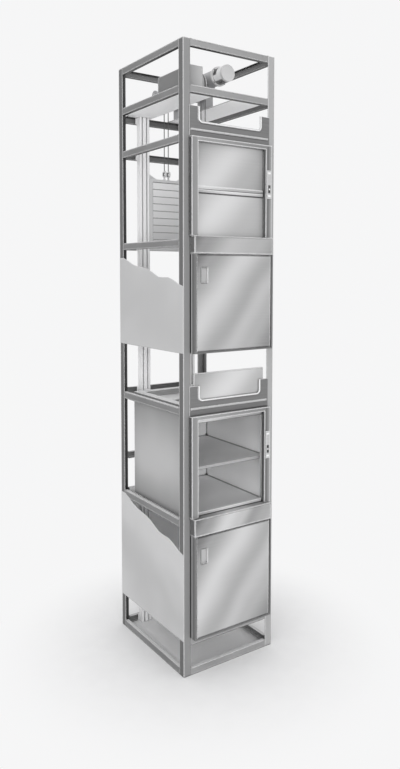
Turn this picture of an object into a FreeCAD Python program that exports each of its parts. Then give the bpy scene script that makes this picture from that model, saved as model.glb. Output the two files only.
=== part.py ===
import FreeCAD, Part
import math
import os
import re

import Sketcher

# Two-landing service lift in a free-standing steel tower. Millimetres, +Z up.
# The origin is the middle of the tower's footprint, landing fronts included, on the pit floor.
# The landings face -Y. The car stands at the lower landing, whose hatch is open.

SIZES = {
    # tower of corner angles and pressed rails
    "width": 845,
    "depth": 980,
    "height": 4710,
    "post_leg": 60,
    "post_wall": 5,
    "rail_high": 55,
    "rail_deep": 28,
    "rail_wall": 3,
    # places of the rails, from the tower's top, the landings and the lower floor
    "machine_room": 380,
    "brace_drop": 350,
    "upper_rail_drop": 80,
    "head_rail_rise": 37,
    "rear_head_rise": 63,
    "rear_mid_rise": 237,
    "sill_rail_drop": 73,
    "door_rail_drop": 44,
    "anchor_radius": 7,
    "anchor_inset": 17,
    "anchor_pitch": 600,
    "wall_hole_radius": 6,
    "wall_hole_inset": 20,
    "wall_hole_drop": 80,
    # side and rear sheets, two of them torn open to show the shaft
    "cladding": 2,
    "lower_floor": 276,
    "floor_gap": 245,
    "upper_tear_front": 500,
    "upper_tear_rear": 715,
    "lower_tear_front": 669,
    "lower_tear_rear": 896,
    "tear_wave": 16,
    # landing fronts
    "unit_inset": 50,
    "stile": 57.5,
    "portal_proud": 38,
    "head_band": 33,
    "sheet": 2,
    "bed_gap": 90,
    "upper_opening": 680,
    "lower_sill": 1213,
    "lower_opening": 732,
    "lower_service": 776,
    "sill_band": 132,
    "sill_proud": 66,
    "sill_inset": 8.5,
    # header plate above each opening
    "header_plate": 3,
    "header_rise": 222,
    "notch_rise": 117,
    "notch_width": 560,
    "notch_radius": 22,
    "notch_lip": 16,
    "notch_lip_proud": 7,
    "notch_lip_edge": 4,
    "fold_rise": 41,
    "fold_high": 16,
    "fold_proud": 4,
    "fold_inset": 14,
    # hatch panels, one rising and one dropping
    "hatch_side_lap": 13,
    "hatch_deep": 18,
    "hatch_lap": 8,
    "hatch_gap": 1,
    "hatch_show": 28,
    "lip_high": 24,
    "lip_proud": 8,
    "lip_gap": 3,
    "track_wall": 3,
    "track_grip": 10,
    "slide_gap": 0.5,
    # service door below each sill
    "jamb": 10,
    "leaf_deep": 20,
    "leaf_gap": 3,
    "hinge_gap": 10,
    "pivot_inset": 10,
    "pivot_radius": 4,
    "pivot_long": 14,
    "pivot_fit": 0.05,
    "pull_wide": 56,
    "pull_high": 110,
    "pull_deep": 13,
    "pull_side": 41,
    "pull_drop": 100,
    "pull_rim": 4,
    # operating plate on the right stile
    "plate_wide": 40,
    "plate_high": 216,
    "plate_thick": 5,
    "plate_drop": 160,
    "bezel_wide": 22,
    "bezel_high": 62,
    "bezel_proud": 1.5,
    "bezel_rise": 73,
    "button_radius": 7,
    "button_gap": 0.3,
    "button_proud": 1.5,
    "button_long": 7,
    "lens_wide": 26,
    "lens_high": 16,
    "lens_thick": 1.5,
    "lens_inset": 12,
    # guide columns at the back of the shaft
    "column_wide": 92,
    "column_deep": 50,
    "column_clear": 364,
    "column_web": 8,
    "column_lip": 20,
    "nose_wide": 30,
    "slot_wide": 12.6,
    "slot_deep": 10,
    "seat_thick": 4,
    "seat_wide": 112,
    # bed plates under the machine
    "bed_thick": 6,
    "left_bed_edge": -148,
    "right_bed_edge": 38,
    "right_bed_end": 312,
    # winding machine
    "wheel_spread": 359,
    "slot_back": 24,
    "rope_pitch": 40,
    "rope_radius": 4,
    "rope_gap": 0.3,
    "sheave_pitch_radius": 110,
    "sheave_rise": 181,
    "sheave_wide": 66,
    "diverter_pitch_radius": 90,
    "diverter_rise": 166,
    "rim_rise": 6,
    "rim_deep": 20,
    "groove_gap": 4,
    "groove_half": 11,
    "web_thick": 24,
    "shaft_radius": 20,
    "shaft_stub": 8,
    "shaft_over": 28,
    "shaft_end_gap": 1,
    "worm_rise": 57,
    "worm_side": 98,
    "case_radius": 74,
    "case_wide": 84,
    "worm_radius": 62,
    "neck_half": 46,
    "cover_thick": 6,
    "cover_step": 12,
    "boss_radius": 42,
    "boss_gap": 2,
    "foot_thick": 14,
    "foot_over": 28,
    "bracket_wide": 84,
    "bracket_plate": 14,
    "bracket_gap": 7,
    "bracket_foot": 56,
    "bracket_base": 7,
    "barrel_reach": 180,
    "motor_radius": 64,
    "motor_long": 94,
    "motor_cap": 22,
    "flange_radius": 76,
    "flange_thick": 12,
    # control box
    "box_side": -304,
    "box_wide": 119,
    "box_front": 100,
    "box_deep": 446,
    "box_high": 224,
    # car
    "car_side_gap": 52.5,
    "car_gap": 34,
    "car_rear_gap": 54,
    "car_sheet": 2,
    "car_lip": 12,
    "car_high": 832,
    "floor_deep": 25,
    "shelf_level": 362,
    "shelf_gap": 1,
    "shelf_rest": 18,
    "roof_edge": 62,
    "roof_deep": 45,
    "vent_wide": 14,
    "vent_long": 260,
    "vent_pitch": 30,
    "beam_wide": 64,
    "socket_radius": 9,
    "socket_high": 70,
    "shoe_wall": 5,
    "shoe_high": 90,
    "shoe_bite": 18,
    # counterweight
    "weight_gap": 4,
    "weight_deep": 46,
    "weight_high": 607,
    "weight_drop": 675,
    "weight_stile": 31,
    "weight_top": 26,
    "weight_base": 36,
    "weight_recess": 2,
    "slab_edge": 3,
    "gusset_wide": 82,
    "gusset_high": 44,
    "gusset_thick": 10,
    "eye_radius": 24,
    "eye_wire": 7,
    "eye_rise": 50,
    "tongue_wide": 12,
    "tongue_bite": 10,
    "tongue_high": 120,
}
# what follows from those sizes, so that neighbours keep their clearances
LINKS = {
    "unit_width": "width - 2 * unit_inset",
    "sill_width": "unit_width - 2 * sill_inset",
    "hatch_width": "unit_width - 2 * stile + 2 * hatch_side_lap",
    "car_width": "width - 2 * car_side_gap",
    "weight_width": "column_clear - 2 * weight_gap",
    "bed_level": "height - machine_room",
    "brace_level": "bed_level - brace_drop",
    "upper_sill": "bed_level - bed_gap - header_rise - head_band - upper_opening",
    "upper_rail_level": "upper_sill - upper_rail_drop",
    "upper_floor": "lower_sill + lower_opening + head_band + header_rise + floor_gap",
    "upper_service": "upper_sill - sill_band - jamb - upper_floor",
    "head_rail_level": "lower_sill + lower_opening + head_rail_rise",
    "rear_head_level": "lower_sill + lower_opening + rear_head_rise",
    "rear_mid_level": "lower_sill + rear_mid_rise",
    "sill_rail_level": "lower_sill - sill_rail_drop",
    "door_rail_level": "lower_floor - door_rail_drop",
    "bed_top": "bed_level + rail_wall + bed_thick",
    "sheave_axis": "bed_top + sheave_rise",
    "diverter_axis": "bed_top + diverter_rise",
    "worm_axis": "sheave_axis + worm_rise",
}
COUNTS = {"slabs": 9, "vents": 9, "tear_steps": 14, "rope_sides": 8}
TEAR_WAVES, TEAR_SWELL, SWELL_TURN = 2.75, 0.3, 9

doc = FreeCAD.newDocument("service_lift")
sheet = doc.addObject("Spreadsheet::Sheet", "Sizes")
for row, (alias, value) in enumerate(SIZES.items(), start=1):
    sheet.set(f"A{row}", alias)
    sheet.set(f"B{row}", str(value))
    sheet.setAlias(f"B{row}", alias)
doc.recompute()

NODES = []


def bound(text):
    """Point every size name in an expression at its cell, and work out the linked ones."""
    def cell(match):
        word = match[0]
        return f"({bound(LINKS[word])})" if word in LINKS else f"Sizes.{word}" if word in SIZES else word

    return re.sub(r"[a-z][a-z_0-9]*", cell, str(text))


def number(text):
    """Give the present value of an expression."""
    return float(sheet.evalExpression(bound(text)))


def place(obj, x, y, z):
    for axis, text in (("x", x), ("y", y), ("z", z)):
        obj.setExpression(f"Placement.Base.{axis}", bound(text))
    return obj


def node(label, obj):
    """Name a finished piece, which is then written to a file of its own."""
    obj.Label = label
    NODES.append(obj)
    return obj


# --- shapes that the pieces are made from; each span is (low, high) -------------------------

def block(name, x, y, z):
    box = doc.addObject("Part::Box", name)
    for side, (low, high) in (("Length", x), ("Width", y), ("Height", z)):
        box.setExpression(side, bound(f"({high}) - ({low})"))
    return place(box, x[0], y[0], z[0])


TURNS = {"x": FreeCAD.Rotation(FreeCAD.Vector(0, 1, 0), 90),
         "y": FreeCAD.Rotation(FreeCAD.Vector(1, 0, 0), -90),
         "z": FreeCAD.Rotation()}


def rod(name, axis, span, across, radius):
    """Make a cylinder along an axis; across holds its other two coordinates in X, Y, Z order."""
    cylinder = doc.addObject("Part::Cylinder", name)
    cylinder.Placement = FreeCAD.Placement(FreeCAD.Vector(), TURNS[axis])
    cylinder.setExpression("Radius", bound(radius))
    cylinder.setExpression("Height", bound(f"({span[1]}) - ({span[0]})"))
    at = list(across)
    at.insert("xyz".index(axis), span[0])
    return place(cylinder, *at)


def flat_bar(name, sides, z, x, y, radius):
    """Make an upright bar with flat sides; the radius reaches its corners."""
    prism = doc.addObject("Part::Prism", name)
    prism.Polygon = sides
    prism.setExpression("Circumradius", bound(radius))
    prism.setExpression("Height", bound(f"({z[1]}) - ({z[0]})"))
    return place(prism, x, y, z[0])


def group(name, parts):
    compound = doc.addObject("Part::Compound", name)
    compound.Links = parts
    return compound


def fuse(name, parts):
    joined = doc.addObject("Part::MultiFuse", name)
    joined.Shapes = parts
    return joined


def cut(name, base, tools):
    """Take the tools away from the base, and make sure that they take something."""
    tool = tools[0] if len(tools) == 1 else fuse(f"{name}_tools", tools)
    cutting = doc.addObject("Part::Cut", name)
    cutting.Base, cutting.Tool = base, tool
    doc.recompute()
    if cutting.Shape.Volume > base.Shape.Volume - 1e-3:
        raise ValueError(f"{name}: the cut removes nothing")
    return cutting


def sketch(body, name, role, points):
    """Draw a closed outline on one of the body's own planes, each corner bound to the sizes."""
    drawing = body.newObject("Sketcher::SketchObject", name)
    plane = next(f for f in body.Origin.OriginFeatures if f.Role == role)
    drawing.AttachmentSupport = [(plane, "")]
    drawing.MapMode = "FlatFace"
    corners = [FreeCAD.Vector(number(u), number(v)) for u, v in points]
    following = corners[1:] + corners[:1]
    drawing.addGeometry([Part.LineSegment(a, b) for a, b in zip(corners, following)], False)
    last = len(points)
    drawing.addConstraint([Sketcher.Constraint("Coincident", i, 2, (i + 1) % last, 1) for i in range(last)])
    for i, (point, corner) in enumerate(zip(points, corners)):
        for kind, text, value in (("DistanceX", point[0], corner.x), ("DistanceY", point[1], corner.y)):
            index = drawing.addConstraint(Sketcher.Constraint(kind, -1, 1, i, 1, value))
            drawing.renameConstraint(index, f"{kind}{i}")
            drawing.setExpression(f"Constraints.{kind}{i}", bound(text))
    return drawing


def prism(name, role, points, start, thick):
    """Pad an outline by thick from start: XY plane up, YZ plane towards +X, XZ plane towards -Y."""
    body = doc.addObject("PartDesign::Body", name)
    drawing = sketch(body, f"{name}_outline", role, points)
    drawing.setExpression("AttachmentOffset.Base.z", bound(start))
    pad = body.newObject("PartDesign::Pad", f"{name}_pad")
    pad.Profile = drawing
    pad.setExpression("Length", bound(thick))
    doc.recompute()
    return body


def slab(name, points, y):
    """Make a flat plate with an outline in X and Z that lies between two Y values."""
    return prism(name, "XZ_Plane", points, f"-({y[1]})", f"({y[1]}) - ({y[0]})")


def turned(name, points):
    """Turn an outline of (distance along X, radius) about the X axis."""
    body = doc.addObject("PartDesign::Body", name)
    drawing = sketch(body, f"{name}_outline", "XY_Plane", points)
    turning = body.newObject("PartDesign::Revolution", f"{name}_turning")
    turning.Profile = drawing
    turning.ReferenceAxis = (drawing, ["H_Axis"])
    turning.Angle = 360
    doc.recompute()
    return body


def fillet(body, name, radius, corners):
    """Round the edges along Y that stand at the given (x, z) corners."""
    places = [(number(x), number(z)) for x, z in corners]
    sharp = body.Tip
    edges = []
    for i, edge in enumerate(sharp.Shape.Edges, start=1):
        ends = [v.Point for v in edge.Vertexes]
        upright = len(ends) == 2 and abs(ends[0].x - ends[1].x) + abs(ends[0].z - ends[1].z) < 1e-6
        if upright and any(math.hypot(ends[0].x - x, ends[0].z - z) < 1e-3 for x, z in places):
            edges.append(f"Edge{i}")
    rounding = body.newObject("PartDesign::Fillet", name)
    rounding.Base = (sharp, edges)
    rounding.setExpression("Radius", bound(radius))
    body.Tip = rounding
    doc.recompute()
    return body


def bevel(body, name, size, y):
    """Bevel every edge that lies in the plane at a Y value."""
    level, sharp = number(y), body.Tip
    edges = [f"Edge{i}" for i, edge in enumerate(sharp.Shape.Edges, start=1)
             if all(abs(vertex.Point.y - level) < 1e-4 for vertex in edge.Vertexes)]
    chamfer = body.newObject("PartDesign::Chamfer", name)
    chamfer.Base = (sharp, edges)
    chamfer.setExpression("Size", bound(size))
    body.Tip = chamfer
    doc.recompute()
    return body


# --- tower ----------------------------------------------------------------------------------

LEFT, RIGHT = "(-width / 2)", "(width / 2)"
FRONT, REAR = "((sill_proud - depth) / 2)", "((sill_proud + depth) / 2)"


def wall_hole(label, at_left):
    """Hole through a rear post's back leg, for a fixing to the wall."""
    x = f"{LEFT} + wall_hole_inset" if at_left else f"{RIGHT} - wall_hole_inset"
    return rod(f"{label}_hole", "y", (f"{REAR} - post_wall - 1", f"{REAR} + 1"),
               (x, "height - wall_hole_drop"), "wall_hole_radius")


def corner_post(label, at_left, at_front):
    x = (LEFT, f"{LEFT} + post_leg") if at_left else (f"{RIGHT} - post_leg", RIGHT)
    y = (FRONT, f"{FRONT} + post_leg") if at_front else (f"{REAR} - post_leg", REAR)
    hollow_x = (f"{LEFT} + post_wall", f"{LEFT} + 2 * post_leg") if at_left else (
        f"{RIGHT} - 2 * post_leg", f"{RIGHT} - post_wall")
    hollow_y = (f"{FRONT} + post_wall", f"{FRONT} + 2 * post_leg") if at_front else (
        f"{REAR} - 2 * post_leg", f"{REAR} - post_wall")
    solid = block(f"{label}_bar", x, y, ("0", "height"))
    hollow = block(f"{label}_hollow", hollow_x, hollow_y, ("-1", "height + 1"))
    return cut(label, solid, [hollow] if at_front else [hollow, wall_hole(label, at_left)])


def rail(name, run, level, side, anchors=()):
    """Make one pressed rail whose web lies flush with a tower face and whose flanges point inwards."""
    outer_face = {"left": LEFT, "right": RIGHT, "front": FRONT, "rear": REAR}[side]
    inwards = "+" if side in ("left", "front") else "-"
    edges = [outer_face, f"{outer_face} {inwards} rail_deep"]
    hollow = [f"{outer_face} {inwards} rail_wall", f"{outer_face} {inwards} 2 * rail_deep"]
    if inwards == "-":
        edges.reverse()
        hollow.reverse()
    z = (level, f"{level} + rail_high")
    hollow_z = (f"{level} + rail_wall", f"{level} + rail_high - rail_wall")
    if side in ("left", "right"):
        bar = block(f"{name}_bar", edges, run, z)
        space = block(f"{name}_space", hollow, run, hollow_z)
    else:
        bar = block(f"{name}_bar", run, edges, z)
        space = block(f"{name}_space", run, hollow, hollow_z)
    return cut(name, bar, [space, *anchors])


SIDE_LEVELS = ["height - rail_high", "bed_level", "brace_level", "upper_rail_level",
               "head_rail_level", "sill_rail_level", "0"]
REAR_LEVELS = ["height - rail_high", "bed_level - (rail_high - rail_wall)", "brace_level",
               "upper_rail_level", "rear_head_level", "rear_mid_level", "sill_rail_level", "0"]
FRONT_LEVELS = ["height - rail_high", "bed_level", "door_rail_level", "0"]

MIDDLE_Y = f"({FRONT} + {REAR}) / 2"
SIDE_RUN = (f"{FRONT} + post_leg", f"{REAR} - post_leg")
CROSS_RUN = (f"{LEFT} + post_leg", f"{RIGHT} - post_leg")


def anchor_holes(side):
    """Holes through a base rail's lower flange, for the floor anchors."""
    x = f"{LEFT} + anchor_inset" if side == "left" else f"{RIGHT} - anchor_inset"
    return [rod(f"{side}_anchor_{end}", "z", ("-1", "rail_wall + 1"), (x, y), "anchor_radius")
            for end, y in (("front", f"{MIDDLE_Y} - anchor_pitch / 2"),
                           ("rear", f"{MIDDLE_Y} + anchor_pitch / 2"))]


node("corner_posts", group("post_set", [
    corner_post("post_front_left", True, True), corner_post("post_front_right", False, True),
    corner_post("post_rear_left", True, False), corner_post("post_rear_right", False, False)]))
for side in ("left", "right"):
    rails = [rail(f"{side}_rail_{i}", SIDE_RUN, level, side, anchor_holes(side) if level == "0" else ())
             for i, level in enumerate(SIDE_LEVELS)]
    node(f"{side}_rails", group(f"{side}_rail_set", rails))
node("front_rails", group("front_rail_set", [
    rail(f"front_rail_{i}", CROSS_RUN, level, "front") for i, level in enumerate(FRONT_LEVELS)]))
node("rear_rails", group("rear_rail_set", [
    rail(f"rear_rail_{i}", CROSS_RUN, level, "rear") for i, level in enumerate(REAR_LEVELS)]))


# --- cladding: the left sheets end in a torn edge that rises towards the back ----------------

def torn_sheet(name, base, front, rear):
    steps = COUNTS["tear_steps"]
    edge = []
    for i in range(steps + 1):
        share = i / steps
        swell = 1 - TEAR_SWELL + TEAR_SWELL * math.cos(SWELL_TURN * share)
        wave = round(math.sin(2 * math.pi * TEAR_WAVES * share) * swell, 3)
        edge.append((f"{REAR} - depth * {share:.4f}",
                     f"{base} + {rear} + ({front} - {rear}) * {share:.4f} + tear_wave * {wave}"))
    outline = [(REAR, base)] + edge + [(FRONT, base)]
    return prism(name, "YZ_Plane", outline, f"{LEFT} - cladding", "cladding")


node("left_cladding", group("left_cladding_set", [
    torn_sheet(f"{level}_torn_sheet", f"{level}_floor", f"{level}_tear_front", f"{level}_tear_rear")
    for level in ("upper", "lower")]))
node("right_cladding", group("right_cladding_set", [
    block(f"right_sheet_{i}", (RIGHT, f"{RIGHT} + cladding"), (FRONT, REAR), span)
    for i, span in enumerate([("upper_floor", "upper_rail_level + rail_high"),
                              ("lower_floor", "sill_rail_level + rail_high")])]))
node("rear_cladding", block("rear_sheet", CROSS_RUN,
                            (f"{REAR} - rail_deep - cladding", f"{REAR} - rail_deep"),
                            ("lower_floor", "sill_rail_level + rail_high")))


# --- landing fronts -------------------------------------------------------------------------

class Landing:
    """The heights of one landing, and the pieces that both landings have alike."""

    def __init__(self, name):
        self.name = name
        self.sill = f"{name}_sill"
        self.opening = f"{name}_opening"
        self.head = f"({name}_sill + {name}_opening)"
        self.top = f"({name}_sill + {name}_opening + head_band)"
        self.middle = f"({name}_sill + {name}_opening / 2)"
        self.travel = f"({name}_opening / 2 - hatch_show)"
        self.leaf_top = f"({name}_sill - sill_band)"
        self.leaf_base = f"({name}_sill - sill_band - {name}_service)"
        self.plate_mid = f"({self.head} - plate_drop - plate_high / 2)"
        self.button_level = f"({self.plate_mid} - plate_high / 2 + bezel_rise)"
        self.button_side = "(unit_width / 2 - stile / 2)"

    def label(self, piece):
        return f"{self.name}_{piece}"

    def portal(self):
        """Folded surround of the hatch: a face, an outer return and an inner reveal."""
        half, clear = "unit_width / 2", "(unit_width / 2 - stile)"
        face = f"{FRONT} - portal_proud"

        def arch(inset):
            outer, inner = f"({half} - {inset})", f"({clear} + {inset})"
            base, head, top = f"{self.sill} + {inset}", f"{self.head} + {inset}", f"{self.top} - {inset}"
            return [(f"-{outer}", base), (f"-{outer}", top), (outer, top), (outer, base),
                    (inner, base), (inner, head), (f"-{inner}", head), (f"-{inner}", base)]

        solid = slab(self.label("portal_solid"), arch("0"), (face, FRONT))
        hollow = slab(self.label("portal_hollow"), arch("sheet"), (f"{face} + sheet", f"{FRONT} + 1"))
        hole = rod(self.label("button_way"), "y", (f"{face} - 1", f"{face} + sheet + 1"),
                   (self.button_side, self.button_level), "button_radius + button_gap")
        node(self.label("portal_frame"), cut(self.label("portal"), solid, [hollow, hole]))

    def notch_lip(self, floor, top, face):
        """Pressed lip round the header's notch, with its front edges bevelled."""
        inner, outer = "notch_width / 2", "(notch_width / 2 + notch_lip)"
        low, front = f"{floor} - notch_lip", f"{face} - notch_lip_proud"
        lip = slab(self.label("notch_lip"), [
            (f"-{outer}", top), (f"-{outer}", low), (outer, low), (outer, top),
            (inner, top), (inner, floor), (f"-{inner}", floor), (f"-{inner}", top)], (front, face))
        fillet(lip, self.label("lip_inner"), "notch_radius", [(inner, floor), (f"-{inner}", floor)])
        fillet(lip, self.label("lip_outer"), "notch_radius + notch_lip", [(outer, low), (f"-{outer}", low)])
        return bevel(lip, self.label("lip_bevel"), "notch_lip_edge", front)

    def header(self):
        """U-shaped plate over the hatch with a lipped notch and a pressed fold along its foot."""
        half, notch = "unit_width / 2", "notch_width / 2"
        top, floor = f"{self.top} + header_rise", f"{self.top} + notch_rise"
        plate = slab(self.label("header_sheet"), [
            (f"-{half}", self.top), (half, self.top), (half, top), (notch, top),
            (notch, floor), (f"-{notch}", floor), (f"-{notch}", top), (f"-{half}", top)],
            (f"{FRONT} - header_plate", FRONT))
        fillet(plate, self.label("notch_rounding"), "notch_radius", [(notch, floor), (f"-{notch}", floor)])
        face = f"{FRONT} - header_plate"
        fold = prism(self.label("header_fold"), "YZ_Plane", [
            (face, f"{self.top} + fold_rise"),
            (f"{face} - fold_proud", f"{self.top} + fold_rise + fold_proud / 2"),
            (f"{face} - fold_proud", f"{self.top} + fold_rise + fold_high - fold_proud / 2"),
            (face, f"{self.top} + fold_rise + fold_high")],
            f"-{half} + fold_inset", "unit_width - 2 * fold_inset")
        lip = self.notch_lip(floor, top, face)
        node(self.label("header_plate"), fuse(self.label("header"), [plate, fold, lip]))

    def sill_band_box(self):
        """Deep sill under the hatch, a folded box that is open to the shaft."""
        half = "sill_width / 2"
        y = (f"{FRONT} - sill_proud", FRONT)
        box = block(self.label("sill_solid"), (f"-{half}", half), y, (self.leaf_top, self.sill))
        hollow = block(self.label("sill_hollow"), (f"-{half} + sheet", f"{half} - sheet"),
                       (f"{y[0]} + sheet", f"{FRONT} + 1"),
                       (f"{self.leaf_top} + sheet", f"{self.sill} - sheet"))
        node(self.label("sill"), cut(self.label("sill_fold"), box, [hollow]))

    def surround(self):
        """Jambs and threshold round the service door."""
        half = "sill_width / 2"
        inner = f"({half} - jamb)"
        low = f"{self.leaf_base} - jamb"
        node(self.label("service_surround"), slab(self.label("service_jambs"), [
            (f"-{half}", self.leaf_top), (f"-{half}", low), (half, low), (half, self.leaf_top),
            (inner, self.leaf_top), (inner, self.leaf_base),
            (f"-{inner}", self.leaf_base), (f"-{inner}", self.leaf_top)],
            (f"{FRONT} - sill_proud + sheet", FRONT)))

    def leaf_span(self):
        inner = "(sill_width / 2 - jamb)"
        return f"-{inner} + leaf_gap", f"{inner} - hinge_gap"

    def pull_place(self):
        """Give the X and Z spans of the flush pull's cup."""
        left = f"({self.leaf_span()[0]} + pull_side)"
        top = f"({self.leaf_top} - pull_drop)"
        return (left, f"{left} + pull_wide"), (f"{top} - pull_high", top)

    def service_door(self):
        """Folded leaf, open at the back, with a window for the pull and holes for the pivots."""
        x = self.leaf_span()
        y = (f"{FRONT} - sill_proud", f"{FRONT} - sill_proud + leaf_deep")
        z = (f"{self.leaf_base} + leaf_gap", f"{self.leaf_top} - leaf_gap")
        tray = block(self.label("leaf_solid"), x, y, z)
        hollow = block(self.label("leaf_hollow"), (f"{x[0]} + sheet", f"{x[1]} - sheet"),
                       (f"{y[0]} + sheet", f"{y[1]} + 1"), (f"{z[0]} + sheet", f"{z[1]} - sheet"))
        window = block(self.label("pull_window"), self.pull_place()[0],
                       (f"{y[0]} - 1", f"{y[0]} + sheet + 1"), self.pull_place()[1])
        bore = rod(self.label("pivot_bore"), "z", (f"{z[0]} - 1", f"{z[1]} + 1"), self.pivot_at(),
                   "pivot_radius + pivot_fit")
        node(self.label("service_door"), cut(self.label("leaf"), tray, [hollow, window, bore]))

    def pivot_at(self):
        return f"{self.leaf_span()[1]} - pivot_inset", f"{FRONT} - sill_proud + leaf_deep / 2"

    def pivots(self):
        """Upper and lower pivot pins of the service door."""
        return [rod(self.label("top_pivot"), "z", (f"{self.leaf_top} - pivot_long", self.leaf_top),
                    self.pivot_at(), "pivot_radius"),
                rod(self.label("low_pivot"), "z", (self.leaf_base, f"{self.leaf_base} + pivot_long"),
                    self.pivot_at(), "pivot_radius")]

    def pull(self):
        """Flush pull: a dished cup behind the leaf's face with a rim on it."""
        x, z = self.pull_place()
        face = f"{FRONT} - sill_proud"
        cup = block(self.label("pull_cup"), x, (face, f"{face} + pull_deep"), z)
        rim = block(self.label("pull_flange"), (f"{x[0]} - pull_rim", f"{x[1]} + pull_rim"),
                    (f"{face} + sheet", f"{face} + 2 * sheet"),
                    (f"{z[0]} - pull_rim", f"{z[1]} + pull_rim"))
        dish = block(self.label("pull_dish"), (f"{x[0]} + sheet", f"{x[1]} - sheet"),
                     (f"{face} - 1", f"{face} + pull_deep - sheet"),
                     (f"{z[0]} + sheet", f"{z[1]} - sheet"))
        whole = fuse(self.label("pull_solid"), [cup, rim])
        node(self.label("pull"), cut(self.label("pull_shell"), whole, [dish]))

    def tracks(self):
        """Channels that hold the edges of both hatch panels."""
        back = f"{FRONT} + 2 * track_wall + 2 * slide_gap + hatch_deep"
        low = f"{self.sill} - hatch_lap - {self.travel} - lip_high"
        channels = []
        for sign, hand in (("-", "left"), ("", "right")):
            web = f"({sign}(hatch_width / 2 + slide_gap + track_wall))"
            lip = f"({sign}(hatch_width / 2 - track_grip))"
            inner = f"({sign}(hatch_width / 2 + slide_gap))"
            spans = [[web, lip], [inner, f"{lip} - ({sign}1)"]]
            if not sign:
                spans = [list(reversed(span)) for span in spans]
            z = (low, f"{self.top} + header_rise")
            bar = block(self.label(f"{hand}_track_bar"), spans[0], (FRONT, back), z)
            space = block(self.label(f"{hand}_track_space"), spans[1],
                          (f"{FRONT} + track_wall", f"{back} - track_wall"), (f"{z[0]} - 1", f"{z[1]} + 1"))
            channels.append(cut(self.label(f"{hand}_track"), bar, [space]))
        node(self.label("hatch_tracks"), group(self.label("track_pair"), channels))

    def hatch_panel(self, rising, opened):
        """One hatch panel, a folded tray with a finger lip along the meeting edge."""
        piece = "rising_panel" if rising else "dropping_panel"
        shift = f"{self.travel}" if opened else "0"
        if rising:
            low = f"({self.middle} + hatch_gap / 2 + {shift})"
            high = f"({self.head} + hatch_lap + {shift})"
            lip_z = (low, f"{low} + lip_high")
        else:
            low = f"({self.sill} - hatch_lap - {shift})"
            high = f"({self.middle} - hatch_gap / 2 - {shift})"
            lip_z = (f"{high} - lip_high", high)
        face = f"({FRONT} + track_wall + slide_gap)"
        back = f"({face} + hatch_deep)"
        half = "hatch_width / 2"
        tray = block(self.label(f"{piece}_solid"), (f"-{half}", half), (face, back), (low, high))
        hollow = block(self.label(f"{piece}_hollow"), (f"-{half} + sheet", f"{half} - sheet"),
                       (f"{face} + sheet", f"{back} + 1"), (f"{low} + sheet", f"{high} - sheet"))
        shell = cut(self.label(f"{piece}_tray"), tray, [hollow])
        lip_half = "(unit_width / 2 - stile - lip_gap)"
        lip = block(self.label(f"{piece}_bar"), (f"-{lip_half}", lip_half),
                    (f"{face} - lip_proud", face), lip_z)
        node(self.label(piece), fuse(self.label(f"{piece}_whole"), [shell, lip]))

    def operating_plate(self):
        """Plate with a window for the button's bezel; gives the plate, bezel and lenses."""
        face = f"{FRONT} - portal_proud"
        side, mid = self.button_side, self.plate_mid
        plate_y = (f"{face} - plate_thick", face)
        plate = block(self.label("plate_blank"), (f"{side} - plate_wide / 2", f"{side} + plate_wide / 2"),
                      plate_y, (f"{mid} - plate_high / 2", f"{mid} + plate_high / 2"))
        bezel_x = (f"{side} - bezel_wide / 2", f"{side} + bezel_wide / 2")
        bezel_z = (f"{self.button_level} - bezel_high / 2", f"{self.button_level} + bezel_high / 2")
        window = block(self.label("plate_window"), bezel_x, (f"{plate_y[0]} - 1", f"{face} + 1"), bezel_z)
        bezel = block(self.label("bezel_blank"), bezel_x, (f"{plate_y[0]} - bezel_proud", face), bezel_z)
        bore = rod(self.label("bezel_bore"), "y", (f"{plate_y[0]} - bezel_proud - 1", f"{face} + 1"),
                   (side, self.button_level), "button_radius + button_gap")
        lens_x = (f"{side} - lens_wide / 2", f"{side} + lens_wide / 2")
        lens_y = (f"{plate_y[0]} - lens_thick", plate_y[0])
        ends = [f"({mid} - plate_high / 2 + lens_inset)",
                f"({mid} + plate_high / 2 - lens_inset - lens_high)"]
        lenses = [block(self.label(f"lens_{i}"), lens_x, lens_y, (low, f"{low} + lens_high"))
                  for i, low in enumerate(ends)]
        return (cut(self.label("plate"), plate, [window]), cut(self.label("bezel"), bezel, [bore]), lenses)

    def button(self):
        front = f"{FRONT} - portal_proud - plate_thick - bezel_proud - button_proud"
        node(self.label("call_button"), rod(self.label("button"), "y", (front, f"{front} + button_long"),
                                            (self.button_side, self.button_level), "button_radius"))


plates, bezels, lenses, pivots = [], [], [], []
for landing, opened in ((Landing("upper"), False), (Landing("lower"), True)):
    landing.portal()
    landing.header()
    landing.sill_band_box()
    landing.surround()
    landing.service_door()
    landing.pull()
    landing.tracks()
    landing.hatch_panel(True, opened)
    landing.hatch_panel(False, opened)
    landing.button()
    plate, bezel, pair = landing.operating_plate()
    plates.append(plate)
    bezels.append(bezel)
    lenses += pair
    pivots += landing.pivots()
node("operating_plates", group("plate_pair", plates))
node("button_bezels", group("bezel_pair", bezels))
node("indicator_lenses", group("lens_set", lenses))
node("service_pivots", group("pivot_set", pivots))


# --- guide columns --------------------------------------------------------------------------

COLUMN_BACK = f"({REAR} - rail_deep - cladding - seat_thick)"
COLUMN_FACE = f"({COLUMN_BACK} - column_deep)"
BED_BASE = "(bed_level + rail_wall)"
WEIGHT_Y = f"({COLUMN_BACK} - slot_back)"


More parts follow.
